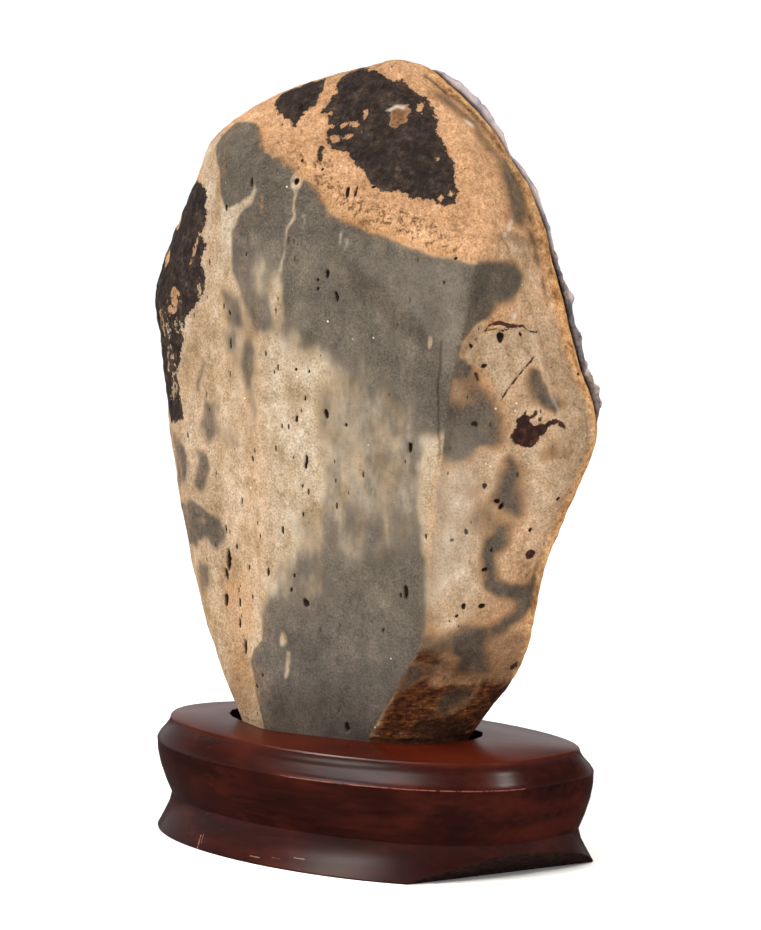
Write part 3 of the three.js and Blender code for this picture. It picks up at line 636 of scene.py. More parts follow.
# On the facet a little iron stains the grey, and more gathers along each patch's edge.
halo = 4 * grey * (1 - grey) * facet_share
ochre = np.maximum(ochre, np.maximum(0.6 * halo, 0.14 * grey * facet_share))
pitted = brushed(
    (SOFT_FACE, (outline((-35, 272), (-21, 263), (-13, 256), (2, 243), (14, 239), (38, 233), (59, 229),
      (58, 237), (42, 243), (16, 251), (0, 258), (-5, 266), (-16, 268), (-25, 274)), 3, 1),
     (dab(-17, 273, 7, 7), 3, 0.7)),
    (SOFT_FACET, (dab(0, 232, 12, 4), 3, 0.6)),
    (ON_FACET, (dab(-20, 195, 2.5, 9), 2, 0.7), (dab(-16, 186, 5, 3), 2, 0.5)))
cool = brushed(
    (ON_FACE, (dab(0, 50, 60, 42), 14, 0.9), (dab(-75, 120, 20, 40), 6, 0.8),
     (dab(-45, 225, 16, 14), 5, 0.5)))
rust = brushed(
    (ON_FACE, (FLECK, 1.6, 0.6)),
    (ON_FACET, (UNDERSIDE, 2.5, 1)),
    (SOFT_FACET, (outline((-17, 78), (-7, 77), (-3, 70), (-8, 66.5), (-13, 69)), 2, 0.35)),
    (ON_FACET, (LOWEST, 1.6, 0.35), (BY_RIDGE_LOW, 1.6, 0.2), (dab(-1, 70.5, 4.5, 2.6), 1.5, 0.25),
     (stroke(1.2, (-18.6, 65), (-17.4, 58.9), (-16.4, 53.7), (-15.4, 47)), 0.8, 0.2)),
    (ON_BACK, (dab(0, 46, 60, 8), 6, 0.6)))
print("cream covers", percent(cream > 0.5), "and ochre touches", percent(ochre > 0.1))

# %% [markdown]
# The black crust lies on the rind in patches with torn edges, and the tan shows
# through holes in it. Here each point gets its depth inside a patch in mm, below
# zero outside, because so crisp an edge is cut later by the material. The brown
# iron spots on the facet are made in the same way.

# %% Lay the black crust and the iron spots
front, back = ON_FACE[:2], ON_BACK[:2]
black = np.minimum(deepest((CAP, SMALL_CAP, DRIP, LEFT_BAND), *front), back_starts - y)
black = np.maximum(black, np.minimum(y - back_starts + 4, deepest((
    dab(-92, 206, 12, 24), dab(-44, 268, 12, 5), dab(-70, 118, 4, 6), dab(-78, 182, 3, 4)), *back)))
holes = [dab(*oval) for oval in (
    (-11.2, 287.8, 1.6, 1.2), (-9.9, 280.7, 1.1, 0.9), (4.6, 280.1, 0.9, 1.5), (-9.1, 275.9, 1.1, 0.9),
    (-3.1, 276.4, 1.6, 0.8), (1.1, 276.1, 1.2, 0.9), (-6.1, 271.2, 1.6, 1.3), (-0.5, 271.3, 1.5, 0.7),
    (4.5, 273.2, 1, 0.6), (25.3, 282.4, 1, 2), (38.8, 264.5, 0.7, 0.7), (42.9, 250.6, 1, 1),
    (46.5, 251.8, 1, 0.8), (-89, 237, 3.6, 3), (-92, 222.4, 2.4, 3))]
black = np.minimum(black, -deepest([FLECK, *holes], *front))
# On the left band the crust is only worn thin, so the noise leaves crumbs of it there.
for worn, left in ((stroke(3, (-68, 232), (-70, 227), (-72.5, 220.5)), 0.0),
                   (dab(-66.5, 213, 2, 5), 0.2), (dab(-83, 206, 5, 5), 0.2),
                   (dab(-90, 197, 5, 6), 0.25), (dab(-79, 197, 4, 3), 0.3),
                   (dab(-88, 184, 4, 6), 0.15), (dab(-85, 172, 3, 6), 0.15)):
    black = np.minimum(black, np.maximum(left, 0.5 - worn(*SOFT_FACE[:2])))
brown = np.where(past_ridge > 0, deepest((
    lambda u, v: IRON_SPOT(u, v) + 0.35, dab(6.6, 118.7, 1.9, 1.6), dab(4.4, 168.4, 0.9, 0.8),
    dab(5.3, 166.9, 0.6, 0.8), dab(13, 74.7, 2.4, 1.3), dab(15, 185.7, 1.2, 0.9),
    stroke(0.7, (-4, 173.2), (-4, 170.8)), stroke(0.7, (-2.5, 170.8), (-1.2, 172.6)),
    stroke(0.6, (-0.1, 170.3), (-0.1, 167.8))), *ON_FACET[:2]), -6)
print("black covers", percent(black > 0), "and brown", percent(brown > 0))

# %% [markdown]
# Last come the marks that are only darker or paler than what they lie on: shaded
# hollows, fine cracks, painted shadow where the crust meets the rock and where the rock sits in the
# socket, and scratches.

# %% Brush the shade and the pale marks
shade = brushed(
    (SOFT_FACET, (stroke(5, (11, 286), (10, 276), (7, 267)), 2.5, 0.3), (dab(9, 247, 5, 9), 4, 0.3),
     (dab(-5, 64, 8, 9), 4, 0.15)),
    (ON_FACET, (outline((-12.9, 238.1), (-3.3, 238.7), (6.7, 235.7), (14.7, 236), (16.4, 232.3),
      (7.7, 232), (-3.9, 234.4), (-10.7, 235.2)), 1.4, 0.4), (dab(9.6, 235.5, 2, 2.6), 1, 0.7),
     (dab(9.8, 228.6, 1.8, 3.2), 1, 0.6), (dab(10.3, 218.4, 1.2, 3), 0.9, 0.6),
     (dab(13.6, 257.4, 2.4, 2), 1.2, 0.55), (dab(12, 242.6, 2, 1.6), 1, 0.6),
     (stroke(0.7, (-1.4, 224.5), (0, 217), (1.8, 210)), 0.5, 0.3),
     (stroke(5, (-22.5, 230), (-22.9, 218), (-22.5, 207), (-22.1, 198)), 2.2, 0.22),
     (stroke(0.8, (-7.3, 235.7), (-5.4, 226.6), (0.5, 213.6), (4.1, 202.4), (3.9, 188), (5.5, 177),
      (6.9, 166)), 0.8, 0.4),
     (stroke(0.8, (11.3, 195), (9.4, 187.7), (8.7, 182.4), (10.3, 177.6), (11, 173.3), (11.9, 169.6),
      (11.3, 160)), 0.6, 0.5)),
    (SOFT_FACET, (dab(0, 99, 9, 10), 5, 0.25), (dab(8, 172, 5, 24), 4, 0.22)),
    (SOFT_FACE, (dab(-14, 50, 24, 12), 8, 0.25), (dab(-47, 60, 6, 13), 4, 0.2)),
    (ON_FACE, (outline((7, 226.5), (12, 226.5), (47, 198), (47, 192), (30, 203), (10, 216)), 1.5, 0.26),
     (dab(18.5, 279, 2.2, 3), 1.4, 0.4),
     (stroke(0.9, (48, 199), (47.2, 190), (46.5, 180.7), (46.1, 164.6), (46.8, 157)), 0.8, 0.6)),
    (ON_FACET, (stroke(4, (-22.5, 196), (-22, 188), (-19, 183)), 2, 0.35)),
    (SOFT_FACET, (dab(14.2, 224, 1.2, 4), 1.2, 0.4), (dab(13, 74, 6, 3), 2.6, 0.45)),
    (ON_FACET, (BY_RIDGE_HIGH, 1.6, 0.25), (BY_RIDGE_LOW, 1.6, 0.4), (LOWEST, 1.6, 0.55),
     (stroke(5, (14.8, 80), (13.5, 70), (10, 62), (9.4, 54)), 2, 0.35),
     # The dark bottom of the facet, down to the socket, is painted shadow where the rock sits in the
     # stand.
     (outline((-10.9, 44), (-10.2, 52), (-8, 55.4), (-6.7, 53.8), (-3, 53.2), (0.9, 55.1), (7.1, 52),
      (9, 44)), 1.4, 0.7),
     (outline((-10.6, 49), (-9.8, 53.4), (-7.7, 55.4), (-6.9, 56.6), (-8.4, 52),
      (-10, 49.5)), 0.8, 0.95), (stroke(2.5, (-16, 45), (14, 45)), 1.4, 0.85)),
    (SOFT_FACET,
     (outline((-20, 84), (-8, 90), (4, 92), (14, 86), (13, 70), (2, 68), (-16, 72)), 3, 0.5)),
    (ON_RIM, (stroke(2, (10.3, 293.5), (11.8, 289.5), (14, 286), (14.3, 281), (13.5, 275), (13.4, 270),
      (15.2, 266)), 0.9, 0.8)))
pale = brushed(
    (ON_FACE, (stroke(0.5, (4.9, 237.4), (5.2, 233.2)), 0.5, 0.5),
     (stroke(0.5, (7.2, 234.8), (7.4, 230.8)), 0.5, 0.45),
     (stroke(0.5, (-12.1, 242.5), (-11.8, 239.8)), 0.5, 0.4),
     (stroke(1.1, (14, 281.4), (16, 283), (18.6, 282.8)), 0.5, 0.85),
     (outline((13, 228), (57, 228), (56, 205), (50, 190), (47, 200)), 2, 0.06)),
    (SOFT_FACET, (dab(-18, 130, 6, 28), 5, 0.25)),
    (ON_FACET, (stroke(0.9, (-0.8, 241.8), (-4.6, 238.4)), 0.5, 0.8),
     (dab(6.8, 276.7, 1.1, 0.9), 0.6, 0.8), (dab(-6, 208.1, 0.8, 1.2), 0.5, 0.8),
     (stroke(0.7, (-3, 215.6), (-3.6, 210.9)), 0.6, 0.35), (dab(-6.7, 237.4, 1, 0.8), 0.5, 0.6),
     (stroke(0.5, (1.6, 195.3), (2.4, 186.3), (3.8, 177.2), (4.1, 171.7)), 0.5, 0.4)))
crust_tree = BVHTree.FromObject(bpy.data.objects["chalcedony_crust"],
                                bpy.context.evaluated_depsgraph_get())
to_crust = np.array([crust_tree.find_nearest(Vector(p) * MM)[3] / MM if p[1] > 8 else 99.0
                     for p in skin_points])
# Painted shadow darkens the rock along the seam where the crust meets it, and the facet's grey is
# brushed a little darker.
for darker in (0.8 * eased(1.4 - to_crust / 0.8), 0.32 * grey * facet_share):
    shade = np.maximum(shade, darker)
pale = np.maximum(pale, 0.5 * eased(1 - np.abs(to_crust - 1.5) / 0.8) * eased((z - 150) / 40))
rim = eased((y - 12.5) / 2) * eased((24.5 - y) / 2) * eased(past_ridge - 1) * eased((z - 60) / 12)
print("shade touches", percent(shade > 0.1), "and pale marks", percent(pale > 0.1))

# %% [markdown]
# ## The rock: its relief
#
# The face was ground flat, so it is nearly smooth. The rind is as it was found,
# with a crumbly surface, and the black crust lies on it as a thin raised skin.
# All of this is real relief: each point moves along its normal by a number of
# millimetres, so the outline and the shadows change with it.

# %% Move the skin in and out
def pore_depth(pores, side):
    """How far the pores of one side go in, in mm, and how deep each place is in one."""
    u, v, allowed = side
    sunk, inside = np.zeros(count), np.zeros(count)
    for cu, cv, width, length, depth in pores:
        share = np.hypot((u - cu) / (width / 2), (v - cv) / (length / 2))
        sunk = np.maximum(sunk, depth * eased(2.1 - 1.9 * share))
        inside = np.maximum(inside, np.clip(1.5 - share, 0, 1))
    return sunk * (allowed > 0.5), inside * (allowed > 0.5)


# How rough each zone is: the rind, the ground face, the facet, the rusty break, the foot.
rough = np.where(y < 15, 0.7, 0.9)
ground = eased(0.5 + np.minimum(-past_ridge, FACE_TOP_MM - z) / 6) * eased((10 - y) / 4) \
    * eased(0.5 + (x + 60 + 0.12 * (z - 200)) / 14)
facet = eased(past_ridge / 4) * eased((11 - y) / 3) * eased((250 - z) / 12)
for level, zone in ((0.05, ground), (0.22, facet), (1.1, rust)):
    rough += (level - rough) * zone
rough *= np.where(z < 46, 0.25, 1.0)

lift = 0.14 * wander(28, 1)
lift += rough * (0.34 * wander(8, 2, 2) + 0.26 * wander(3.4, 3, 2))
lift += eased(0.5 + black / 1.6) * (0.3 + 0.3 * wander(4.2, 4, 2))
# Along the right side a groove and a swelling run up beside the crust.
right_side = eased(past_ridge / 3) * eased((z - 80) / 10)
for middle_y, half_width, rise in ((12, 0.9, -0.8), (16.5, 2.6, 0.45)):
    lift += rise * np.exp(-((y - middle_y) / half_width) ** 2) * right_side
# The strip beside the ridge is ground a little deeper, as far as the saw line.
strip_share = (x - along(STRIP, z)) / np.maximum(along(RIDGE, z) - along(STRIP, z), 0.5)
lift -= 0.3 * eased(strip_share) * eased(1 - past_ridge / 6) * eased((z - 160) / 8) \
    * eased((232 - z) / 6) * (y < 0)
lift -= 0.5 * eased(0.5 + SAW_LINE(x, z) / 0.5) * ON_FACE[2]
crack = np.where(past_ridge > 0, deepest(CRACKS, y, z), -9)
lift -= 0.5 * eased(0.5 + crack / 0.6)
face_sunk, face_inside = pore_depth(FACE_PORES, ON_FACE)
facet_sunk, facet_inside = pore_depth(FACET_PORES, ON_FACET)
lift -= np.maximum(face_sunk, facet_sunk)
lift = np.where(y > 20, 0.4 * lift, lift)
low, high = (np.array(corner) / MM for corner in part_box("rock"))
moved = np.clip(skin_points + normals.reshape(-1, 3) * lift[:, None], low, high)
skin.vertices.foreach_set("co", (moved * MM).ravel())
skin.update()


def finish_skin(mesh, values):
    """Shades a mesh smoothly and writes named values onto its points."""
    for polygon in mesh.polygons:
        polygon.use_smooth = True
    for name, value in values.items():
        mesh.attributes.new(name, "FLOAT", "POINT").data.foreach_set("value", value)


skin_values = {
    "grey": grey, "cream": cream, "ochre": ochre, "cool": cool, "rim": rim, "rough": rough,
    "rust": rust, "shade": shade, "pale": pale, "pitted": pitted,
    "black": np.clip(0.5 + black / 12, 0, 1), "brown": np.clip(0.5 + brown / 12, 0, 1),
    "crack": np.clip(0.5 + crack / 2, 0, 1), "pore": np.maximum(face_inside, facet_inside)}
finish_skin(skin, skin_values)
print("relief from", round(lift.min(), 2), "to", round(lift.max(), 2), "mm")

# %% [markdown]
# ## The rock: its material
#
# The rock is a fine-grained volcanic tuff. Its face was ground with a coarse wheel
# and left unpolished, which gives the eye a matt surface with a sandy grain and a
# few bright quartz crystals. Its rind is weathered, so it is rougher and stained
# by iron. The grain is really about 0.2 mm; it is drawn at 0.8 mm, because finer
# grain wouldn't show. Every edge between two colours is broken up by noise, since
# stains in stone never end in a clean line.

# %% Tuff, ground in front and weathered at its rind
tuff, tree = new_material("ground_tuff_with_weathered_rind")
spot = add(tree, "TexCoord").outputs["Object"]
values = {name: add(tree, "Attribute", attribute_name=name).outputs["Fac"]
          for name in skin_values}
for name, stretch, size, detail in (
        ("cloud", (1, 1, 1), 24, 3), ("blot", (1, 1, 0.7), 9, 2), ("vein", (1, 1, 0.45), 6.5, 3),
        ("mottle", (1, 1, 1), 5.5, 4), ("crumb", (1, 1, 1), 2.4, 5), ("grain", (1, 1, 1), 0.8, 2),
        ("streak", (1, 1, 0.16), 1.3, 3), ("fibre", (0.25, 0.25, 1), 0.9, 4)):
    place = add(tree, "Mapping", {"Vector": spot, "Scale": stretch}).outputs[0]
    wavy = add(tree, "TexNoise", {"Vector": place, "Scale": 1 / (size * MM),
                                  "Detail": detail, "Roughness": 0.6})
    values[name] = add(tree, "MapRange", {0: wavy.outputs["Fac"], 1: 0.3, 2: 0.7}).outputs[0]
print("skin values and noises:", len(values))

# %% [markdown]
# A stain never has one flat tone or a clean line. So the numbers on the skin and
# the noises are added up in shares, and each sum becomes a tone or an edge: the
# larger the share of a noise, the more an edge wanders at that noise's size.

# %% Sums that drive the tones and break up the edges
# Each is a name, a number brushed onto the skin to start from, and shares of the noises.
for name, start, shares in (
        ("grey_tone", "", {"cloud": 0.4, "blot": 0.25, "vein": 0.15, "mottle": 0.2}),
        ("cream_tone", "", {"blot": 0.35, "vein": 0.2, "mottle": 0.25, "cloud": 0.2}),
        ("tan_tone", "", {"crumb": 0.4, "mottle": 0.15, "blot": 0.15, "cloud": 0.3}),
        ("band_tone", "", {"crumb": 0.4, "mottle": 0.6}),
        ("fibre_tone", "", {"fibre": 0.45, "crumb": 0.3, "mottle": 0.25}),
        ("black_tone", "", {"mottle": 0.4, "crumb": 0.4, "grain": 0.2}),
        ("speckle", "", {"grain": 0.55, "streak": 0.1, "crumb": 0.18, "mottle": 0.1, "blot": 0.07}),
        ("grey_edge", "grey", {"vein": 0.4, "mottle": 0.14, "crumb": 0.14, "grain": 0.28}),
        ("stain_edge", "ochre", {"mottle": 0.3, "crumb": 0.2}),
        ("black_edge", "black", {"crumb": 0.16, "mottle": 0.08, "grain": 0.06}),
        ("brown_edge", "brown", {"crumb": 0.1}),
        ("crack_edge", "crack", {"crumb": 0.36}),
        ("pit_edge", "pitted", {"crumb": -0.7, "grain": -0.3})):
    total = values.get(start, 0.0)
    for part, share in shares.items():
        total = add(tree, "Math", {0: values[part], 1: share, 2: total},
                    operation="MULTIPLY_ADD").outputs[0]
    values[name] = total
print("with the sums:", len(values))

# %% [markdown]
# A mask says where a colour lies. It goes from 0 to 1 between a low and a high
# value of its sum: close together for the black crust, which ends in a crisp torn
# edge, and far apart for the grey, which fades into the cream over centimetres.

# %% Masks with soft ends, from a value's low to its high
for name, source, low, high in (
        ("grey_mask", "grey_edge", 0.66, 1.3), ("stain_mask", "stain_edge", 0.3, 1.5),
        ("black_mask", "black_edge", 0.635, 0.665), ("brown_mask", "brown_edge", 0.53, 0.57),
        ("crack_mask", "crack_edge", 0.66, 0.8), ("pit_mask", "pit_edge", 0.6, 0.78),
        ("pore_mask", "pore", 0.42, 0.68)):
    values[name] = add(tree, "MapRange", {0: values[source], 1: low, 2: high},
                       interpolation_type="SMOOTHSTEP").outputs[0]

# Bright crystals, and pinholes that are too small for the skin.
crystals = add(tree, "TexVoronoi", {"Vector": spot, "Scale": 1 / (5 * MM)})
crystal_size = add(tree, "MapRange", {0: crystals.outputs["Distance"], 1: 0.06, 2: 0.1,
                                      3: 1.0, 4: 0.0})
crystal_pick = add(tree, "MapRange", {0: crystals.outputs["Color"], 1: 0.74, 2: 0.76})
values["crystal"] = add(tree, "Math", {0: crystal_size.outputs[0], 1: crystal_pick.outputs[0]},
                        operation="MULTIPLY").outputs[0]
pins = add(tree, "TexVoronoi", {
    "Vector": add(tree, "Mapping", {"Vector": spot, "Scale": (1, 1, 0.42)}).outputs[0],
    "Scale": 1 / (3 * MM)})
pin_size = add(tree, "MapRange", {0: pins.outputs["Color"], 1: 0.55, 2: 1.0, 3: 0.0, 4: 0.24})
pin_depth = add(tree, "Math", {0: pin_size.outputs[0], 1: pins.outputs["Distance"]},
                operation="SUBTRACT")
values["pinhole"] = add(tree, "MapRange", {0: pin_depth.outputs[0], 1: 0.0, 2: 0.04}).outputs[0]
print("with the masks:", len(values))

# %% [markdown]
# The colours go on like glazes, from the oldest to the newest: the tan rind, the
# bleached cream, the grey heart, the iron stains, then the crystals and pinholes,
# and last the crusts, the cracks, the shaded hollows and a few pale scratches.

# %% The stone's colours, laid one over the other
tones = {name: add(tree, "ValToRGB", {"Fac": values[source]}, stops).outputs[0]
         for name, source, stops in (
    ("warm_grey", "grey_tone", [(0.25, "#4a4339"), (0.5, "#544d43"), (0.75, "#60584c")]),
    ("cool_grey", "grey_tone", [(0.25, "#423c36"), (0.5, "#4d4740"), (0.75, "#5a5249")]),
    ("bleached", "cream_tone", [(0.25, "#826f54"), (0.45, "#948269"), (0.6, "#9d8d77"),
                                (0.78, "#a79c89")]),
    ("tan", "tan_tone", [(0.2, "#886545"), (0.4, "#9f7956"), (0.6, "#aa8461"),
                         (0.8, "#ba9570")]),
    ("orange_band", "band_tone", [(0.2, "#7f5632"), (0.42, "#a97a4c"), (0.75, "#c49c6b")]),
    ("fibrous", "fibre_tone", [(0.2, "#2a1208"), (0.42, "#462210"), (0.6, "#64391a"),
                               (0.8, "#88572d")]),
    ("black", "black_tone", [(0.25, "#1a1310"), (0.5, "#291f1a"), (0.7, "#3c3027"),
                             (0.85, "#57483a")]),
    ("iron", "crumb", [(0.1, "#20100b"), (0.6, "#2e1710"), (0.95, "#4a2a1b")]))}
both_greys = add(tree, "Mix", {0: values["cool"], 6: tones["warm_grey"], 7: tones["cool_grey"]},
                 data_type="RGBA").outputs[2]
SPECKLE_SHARE = 0.6
stone = tones["tan"]
# Pits, pinholes and pores are painted darker than the stone round them, as painted shade inside them.
for mask, over in (
        ("cream", tones["bleached"]), ("grey_mask", both_greys), ("stain_mask", "#966d42"),
        ("rim", tones["orange_band"]), ("pit_mask", "#8a6341"), ("rust", tones["fibrous"]),
        (SPECKLE_SHARE, values["speckle"]), ("crystal", "#c4bba8"), ("pinhole", "#43342a"),
        ("black_mask", tones["black"]), ("brown_mask", tones["iron"]), ("crack_mask", "#43261a"),
        ("pore_mask", "#2b1c14"), ("shade", "#2a190f"), ("pale", "#b9afa0")):
    blend = "OVERLAY" if mask == SPECKLE_SHARE else "MIX"
    stone = add(tree, "Mix", {0: values.get(mask, mask), 6: stone, 7: over},
                data_type="RGBA", blend_type=blend).outputs[2]

# Fine relief in mm: sandy grain on the ground face, crumbs on the rind.
relief_mm = 0.0
for part, depth in (("crumb", values["rough"]), ("grain", 0.1), ("pinhole", -0.4),
                    ("pit_mask", -0.6)):
    relief_mm = add(tree, "Math", {0: values[part], 1: depth, 2: relief_mm},
                    operation="MULTIPLY_ADD").outputs[0]
bump = add(tree, "Bump", {"Strength": 1.0, "Distance": MM, "Height": relief_mm})
dullness = add(tree, "MapRange", {0: values["rough"], 1: 0.0, 2: 1.0, 3: 0.55, 4: 0.88})
surface = add(tree, "BsdfPrincipled", {
    "Base Color": stone, "IOR": 1.5, "Specular IOR Level": 0.15,
    "Roughness": dullness.outputs[0], "Normal": bump.outputs[0]})
add(tree, "OutputMaterial", {"Surface": surface.outputs["BSDF"]})
skin.materials.append(tuff)
rock.name = "rock_body"
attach(rock, "root")
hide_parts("rock")
print("rock material:", len(tree.nodes), "nodes,", len(skin.polygons), "faces")

# %% [markdown]
# ## The chalcedony crust
#
# Chalcedony grows as round lumps that crowd each other, like a bunch of grapes.
# The solid crust has their outer shape. Here its skin is remeshed, and the gaps
# between the lumps are pressed into it in three sizes: where a point is as far
# from one lump's middle as from the next one's, it lies in a gap, and towards a
# middle it rises like a dome. Near its rim the crust is thin, so the gaps are too.

# %% Grape-like lumps on the crust
CRUST_SKIN_MM = 1.05
LUMP_SEED = 7
noise.seed_set(LUMP_SEED)  # the clock would seed noise_vector, and no two runs would agree
crust = even_skin(merged_copy("chalcedony_crust"), "chalcedony_skin", CRUST_SKIN_MM)
crust_skin = crust.data
bm = bmesh.new()
bm.from_mesh(crust_skin)
relax(bm, bm.verts, 3)
bm.normal_update()
dent, near_rock = np.zeros(len(bm.verts)), np.zeros(len(bm.verts))
for i, v in enumerate(bm.verts):
    p = v.co / MM
    bulk = (v.co - rock_tree.find_nearest(v.co)[0]).length / MM
    low_place = 0.0
    calm = np.interp(p.z, [205, 235], [1, 0.35])
    p += 1.6 * noise.noise_vector(p / 6)
    for size, depth in ((12, 2.8), (5.2, 1.3 * calm), (2.4, 0.4 * calm)):
        nearest = noise.voronoi(p / size)[0]
        from_top = 1 - min((nearest[1] - nearest[0]) / 0.9, 1.0)
        low_place += depth * (1 - math.sqrt(1 - from_top ** 2))
    dent[i] = min(low_place, 0.75 * max(0.0, bulk - 0.5))
    # Close to the rock the crust is painted dark as shade, most strongly in the middle of its height.
    seam_shade_share = np.interp(p.z, [140, 160, 225, 250], [0.5, 1, 1, 0.3])
    near_rock[i] = max(0.0, 1 - bulk / 3) * seam_shade_share
    v.co -= v.normal * dent[i] * MM
bm.to_mesh(crust_skin)
bm.free()
finish_skin(crust_skin, {"hollow": dent / 3.2, "near_rock": near_rock})
print("crust:", len(crust_skin.polygons), "squares, dents up to", round(dent.max(), 2), "mm")

# %% [markdown]
# Chalcedony is fibrous quartz, finer than the eye can see. It is waxy and lets a
# little light in, so its edges glow softly. This one is grey with a breath of
# rose and lavender, whiter on the tips of the lumps, and the gaps between them and the seam at the rock
# are painted dark as shade.

# %% Waxy chalcedony
chalcedony, tree = new_material("grape_chalcedony_as_grown")
spot = add(tree, "TexCoord").outputs["Object"]
tone = add(tree, "TexNoise", {"Vector": spot, "Scale": 1 / (9 * MM), "Detail": 3}).outputs[0]
fine = add(tree, "TexNoise", {"Vector": spot, "Scale": 1 / (1.6 * MM), "Detail": 4}).outputs[0]
hollow, by_rock = (add(tree, "Attribute", attribute_name=name).outputs["Fac"]
                   for name in ("hollow", "near_rock"))
colour = add(tree, "ValToRGB", {"Fac": tone}, [
    (0.34, "#716c73"), (0.46, "#9a9094"), (0.55, "#ae9d98"), (0.66, "#86766b")]).outputs[0]
gap_and_seam_shade = hollow
for part, share in ((fine, 0.35), (by_rock, 0.75)):
    gap_and_seam_shade = add(tree, "Math", {0: part, 1: share, 2: gap_and_seam_shade}, operation="MULTIPLY_ADD").outputs[0]
# Where the painted shade in the gaps and at the seam starts and where it is full, its most, and its
# colour; then the white tips.
for none, full, most, over in ((0.6, 0.9, 1.0, "#191211"), (0.36, 0.16, 0.65, "#dacfce")):
    mask = add(tree, "MapRange", {0: gap_and_seam_shade, 1: none, 2: full, 4: most}).outputs[0]
    colour = add(tree, "Mix", {0: mask, 6: colour, 7: over}, data_type="RGBA").outputs[2]
bump = add(tree, "Bump", {"Strength": 0.6, "Distance": 0.3 * MM, "Height": fine})
surface = add(tree, "BsdfPrincipled", {
    "Base Color": colour, "Roughness": 0.38, "IOR": 1.54,
    "Specular IOR Level": 0.4, "Subsurface Weight": 0.12, "Subsurface Scale": 1.2 * MM,
    "Normal": bump.outputs[0]})
add(tree, "OutputMaterial", {"Surface": surface.outputs["BSDF"]})
crust_skin.materials.append(chalcedony)
crust.name = "chalcedony_lumps"
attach(crust, "root")
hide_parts("chalcedony_crust")
print("crust material:", len(tree.nodes), "nodes,", len(crust_skin.polygons), "faces")

# %% [markdown]
# ## The stand: its plan and its moulding
#
# The stand is cut from one board. Its plan is an egg-shaped oval, and a moulding
# runs all round its edge: a rounded shoulder, a sharp arris, a long cove, and a
# foot that flares out. A circle is bent into the plan, and each line of the
# moulding is pulled from it by an extrusion of the loop, moved out or in.

# %% Build the stand by extruding its plan down the moulding
STAND_HEIGHT = 45
HALF_LENGTH, HALF_DEPTH = 89, 43
EGG_X, EGG_Y = 22, 10.5  # how far the plan is from a plain oval
LEAN_X = 8
MIDDLE_X = 20.55  # brings the plan's middle back over the origin
BASE_FLARE = 5.7
SIDES = 144
# Share of the height from the top, and how far out from the top's outline, in mm.
MOULDING = [(0.0, -0.9), (0.004, -0.45), (0.015, 0.0), (0.05, 0.4), (0.1, 1.9), (0.16, 4.3),
            (0.195, 5.25), (0.205, 5.4), (0.215, 5.3), (0.3, 5.2), (0.42, 4.2), (0.56, 2.2),
            (0.69, -0.2), (0.78, 0.8), (0.89, 3.3), (0.985, 5.6), (1.0, 5.4)]


def plan_point(turn, out):
    """A point of the stand's plan in mm, moved out from the outline of its foot."""
    sin, cos, sin_2, cos_2 = math.sin(turn), math.cos(turn), math.sin(2 * turn), math.cos(2 * turn)
    px = HALF_LENGTH * cos - EGG_X * cos_2 + LEAN_X * sin + MIDDLE_X
    py = HALF_DEPTH * sin - EGG_Y * sin_2
    run_x = -HALF_LENGTH * sin + 2 * EGG_X * sin_2 + LEAN_X * cos
    run_y = HALF_DEPTH * cos - 2 * EGG_Y * cos_2
    length = math.hypot(run_x, run_y)
    return px + out * run_y / length, py - out * run_x / length


def lay_loop(verts, share, out):
    """Places one loop of the stand, whose points are in order round the plan."""
    for i, v in enumerate(verts):
        px, py = plan_point(2 * math.pi * i / SIDES, out - BASE_FLARE)
        v.co = Vector((px, py, STAND_HEIGHT * (1 - share))) * MM


def edges_among(verts):
    """The edges of the stand whose two ends are both among some points."""
    return [e for e in bm.edges if e.verts[0] in verts and e.verts[1] in verts]


bm = bmesh.new()
loop = bmesh.ops.create_circle(bm, segments=SIDES, radius=1.0)["verts"]
loop.sort(key=lambda v: math.atan2(v.co.y, v.co.x) % (2 * math.pi))
lay_loop(loop, *MOULDING[0])
top_loop = loop
for share, out in MOULDING[1:]:
    made = bmesh.ops.extrude_edge_only(bm, edges=edges_among(loop))
    fresh = {v for v in made["geom"] if isinstance(v, bmesh.types.BMVert)}
    loop = [next(e.other_vert(v) for e in v.link_edges if e.other_vert(v) in fresh)
            for v in loop]
    lay_loop(loop, share, out)
bmesh.ops.edgeloop_fill(bm, edges=edges_among(loop))
print("stand:", len(bm.faces), "faces")

# %% [markdown]
# One end of the stand's foot was sawn off at a slant and left raw. The cut is one
# plane, so the mesh is cut with it and the hole is filled with a flat face, which
# gets a material of its own. The socket's rim is taken from the solid stand, as a
# section through it just below the top.

# %% Saw the foot and sink the socket
SOCKET_DEEP_MM = 10
CUT_AT_MM = Vector((61.6, -13, 0))
KEPT_SIDE = Vector((-0.523, 0.350, 0.777)).normalized()
halves = bmesh.ops.bisect_plane(
    bm, geom=bm.verts[:] + bm.edges[:] + bm.faces[:], dist=1e-6, plane_co=CUT_AT_MM * MM,
    plane_no=KEPT_SIDE, clear_inner=True)
cut_edges = [e for e in halves["geom_cut"] if isinstance(e, bmesh.types.BMEdge)]
bmesh.ops.edgeloop_fill(bm, edges=cut_edges, mat_nr=1)

section = merged_copy("stand")
bmesh.ops.bisect_plane(
    section, geom=section.verts[:] + section.edges[:] + section.faces[:], dist=1e-6,
    plane_co=(0, 0, (STAND_HEIGHT - 1) * MM), plane_no=(0, 0, 1), clear_inner=True,
    clear_outer=True)
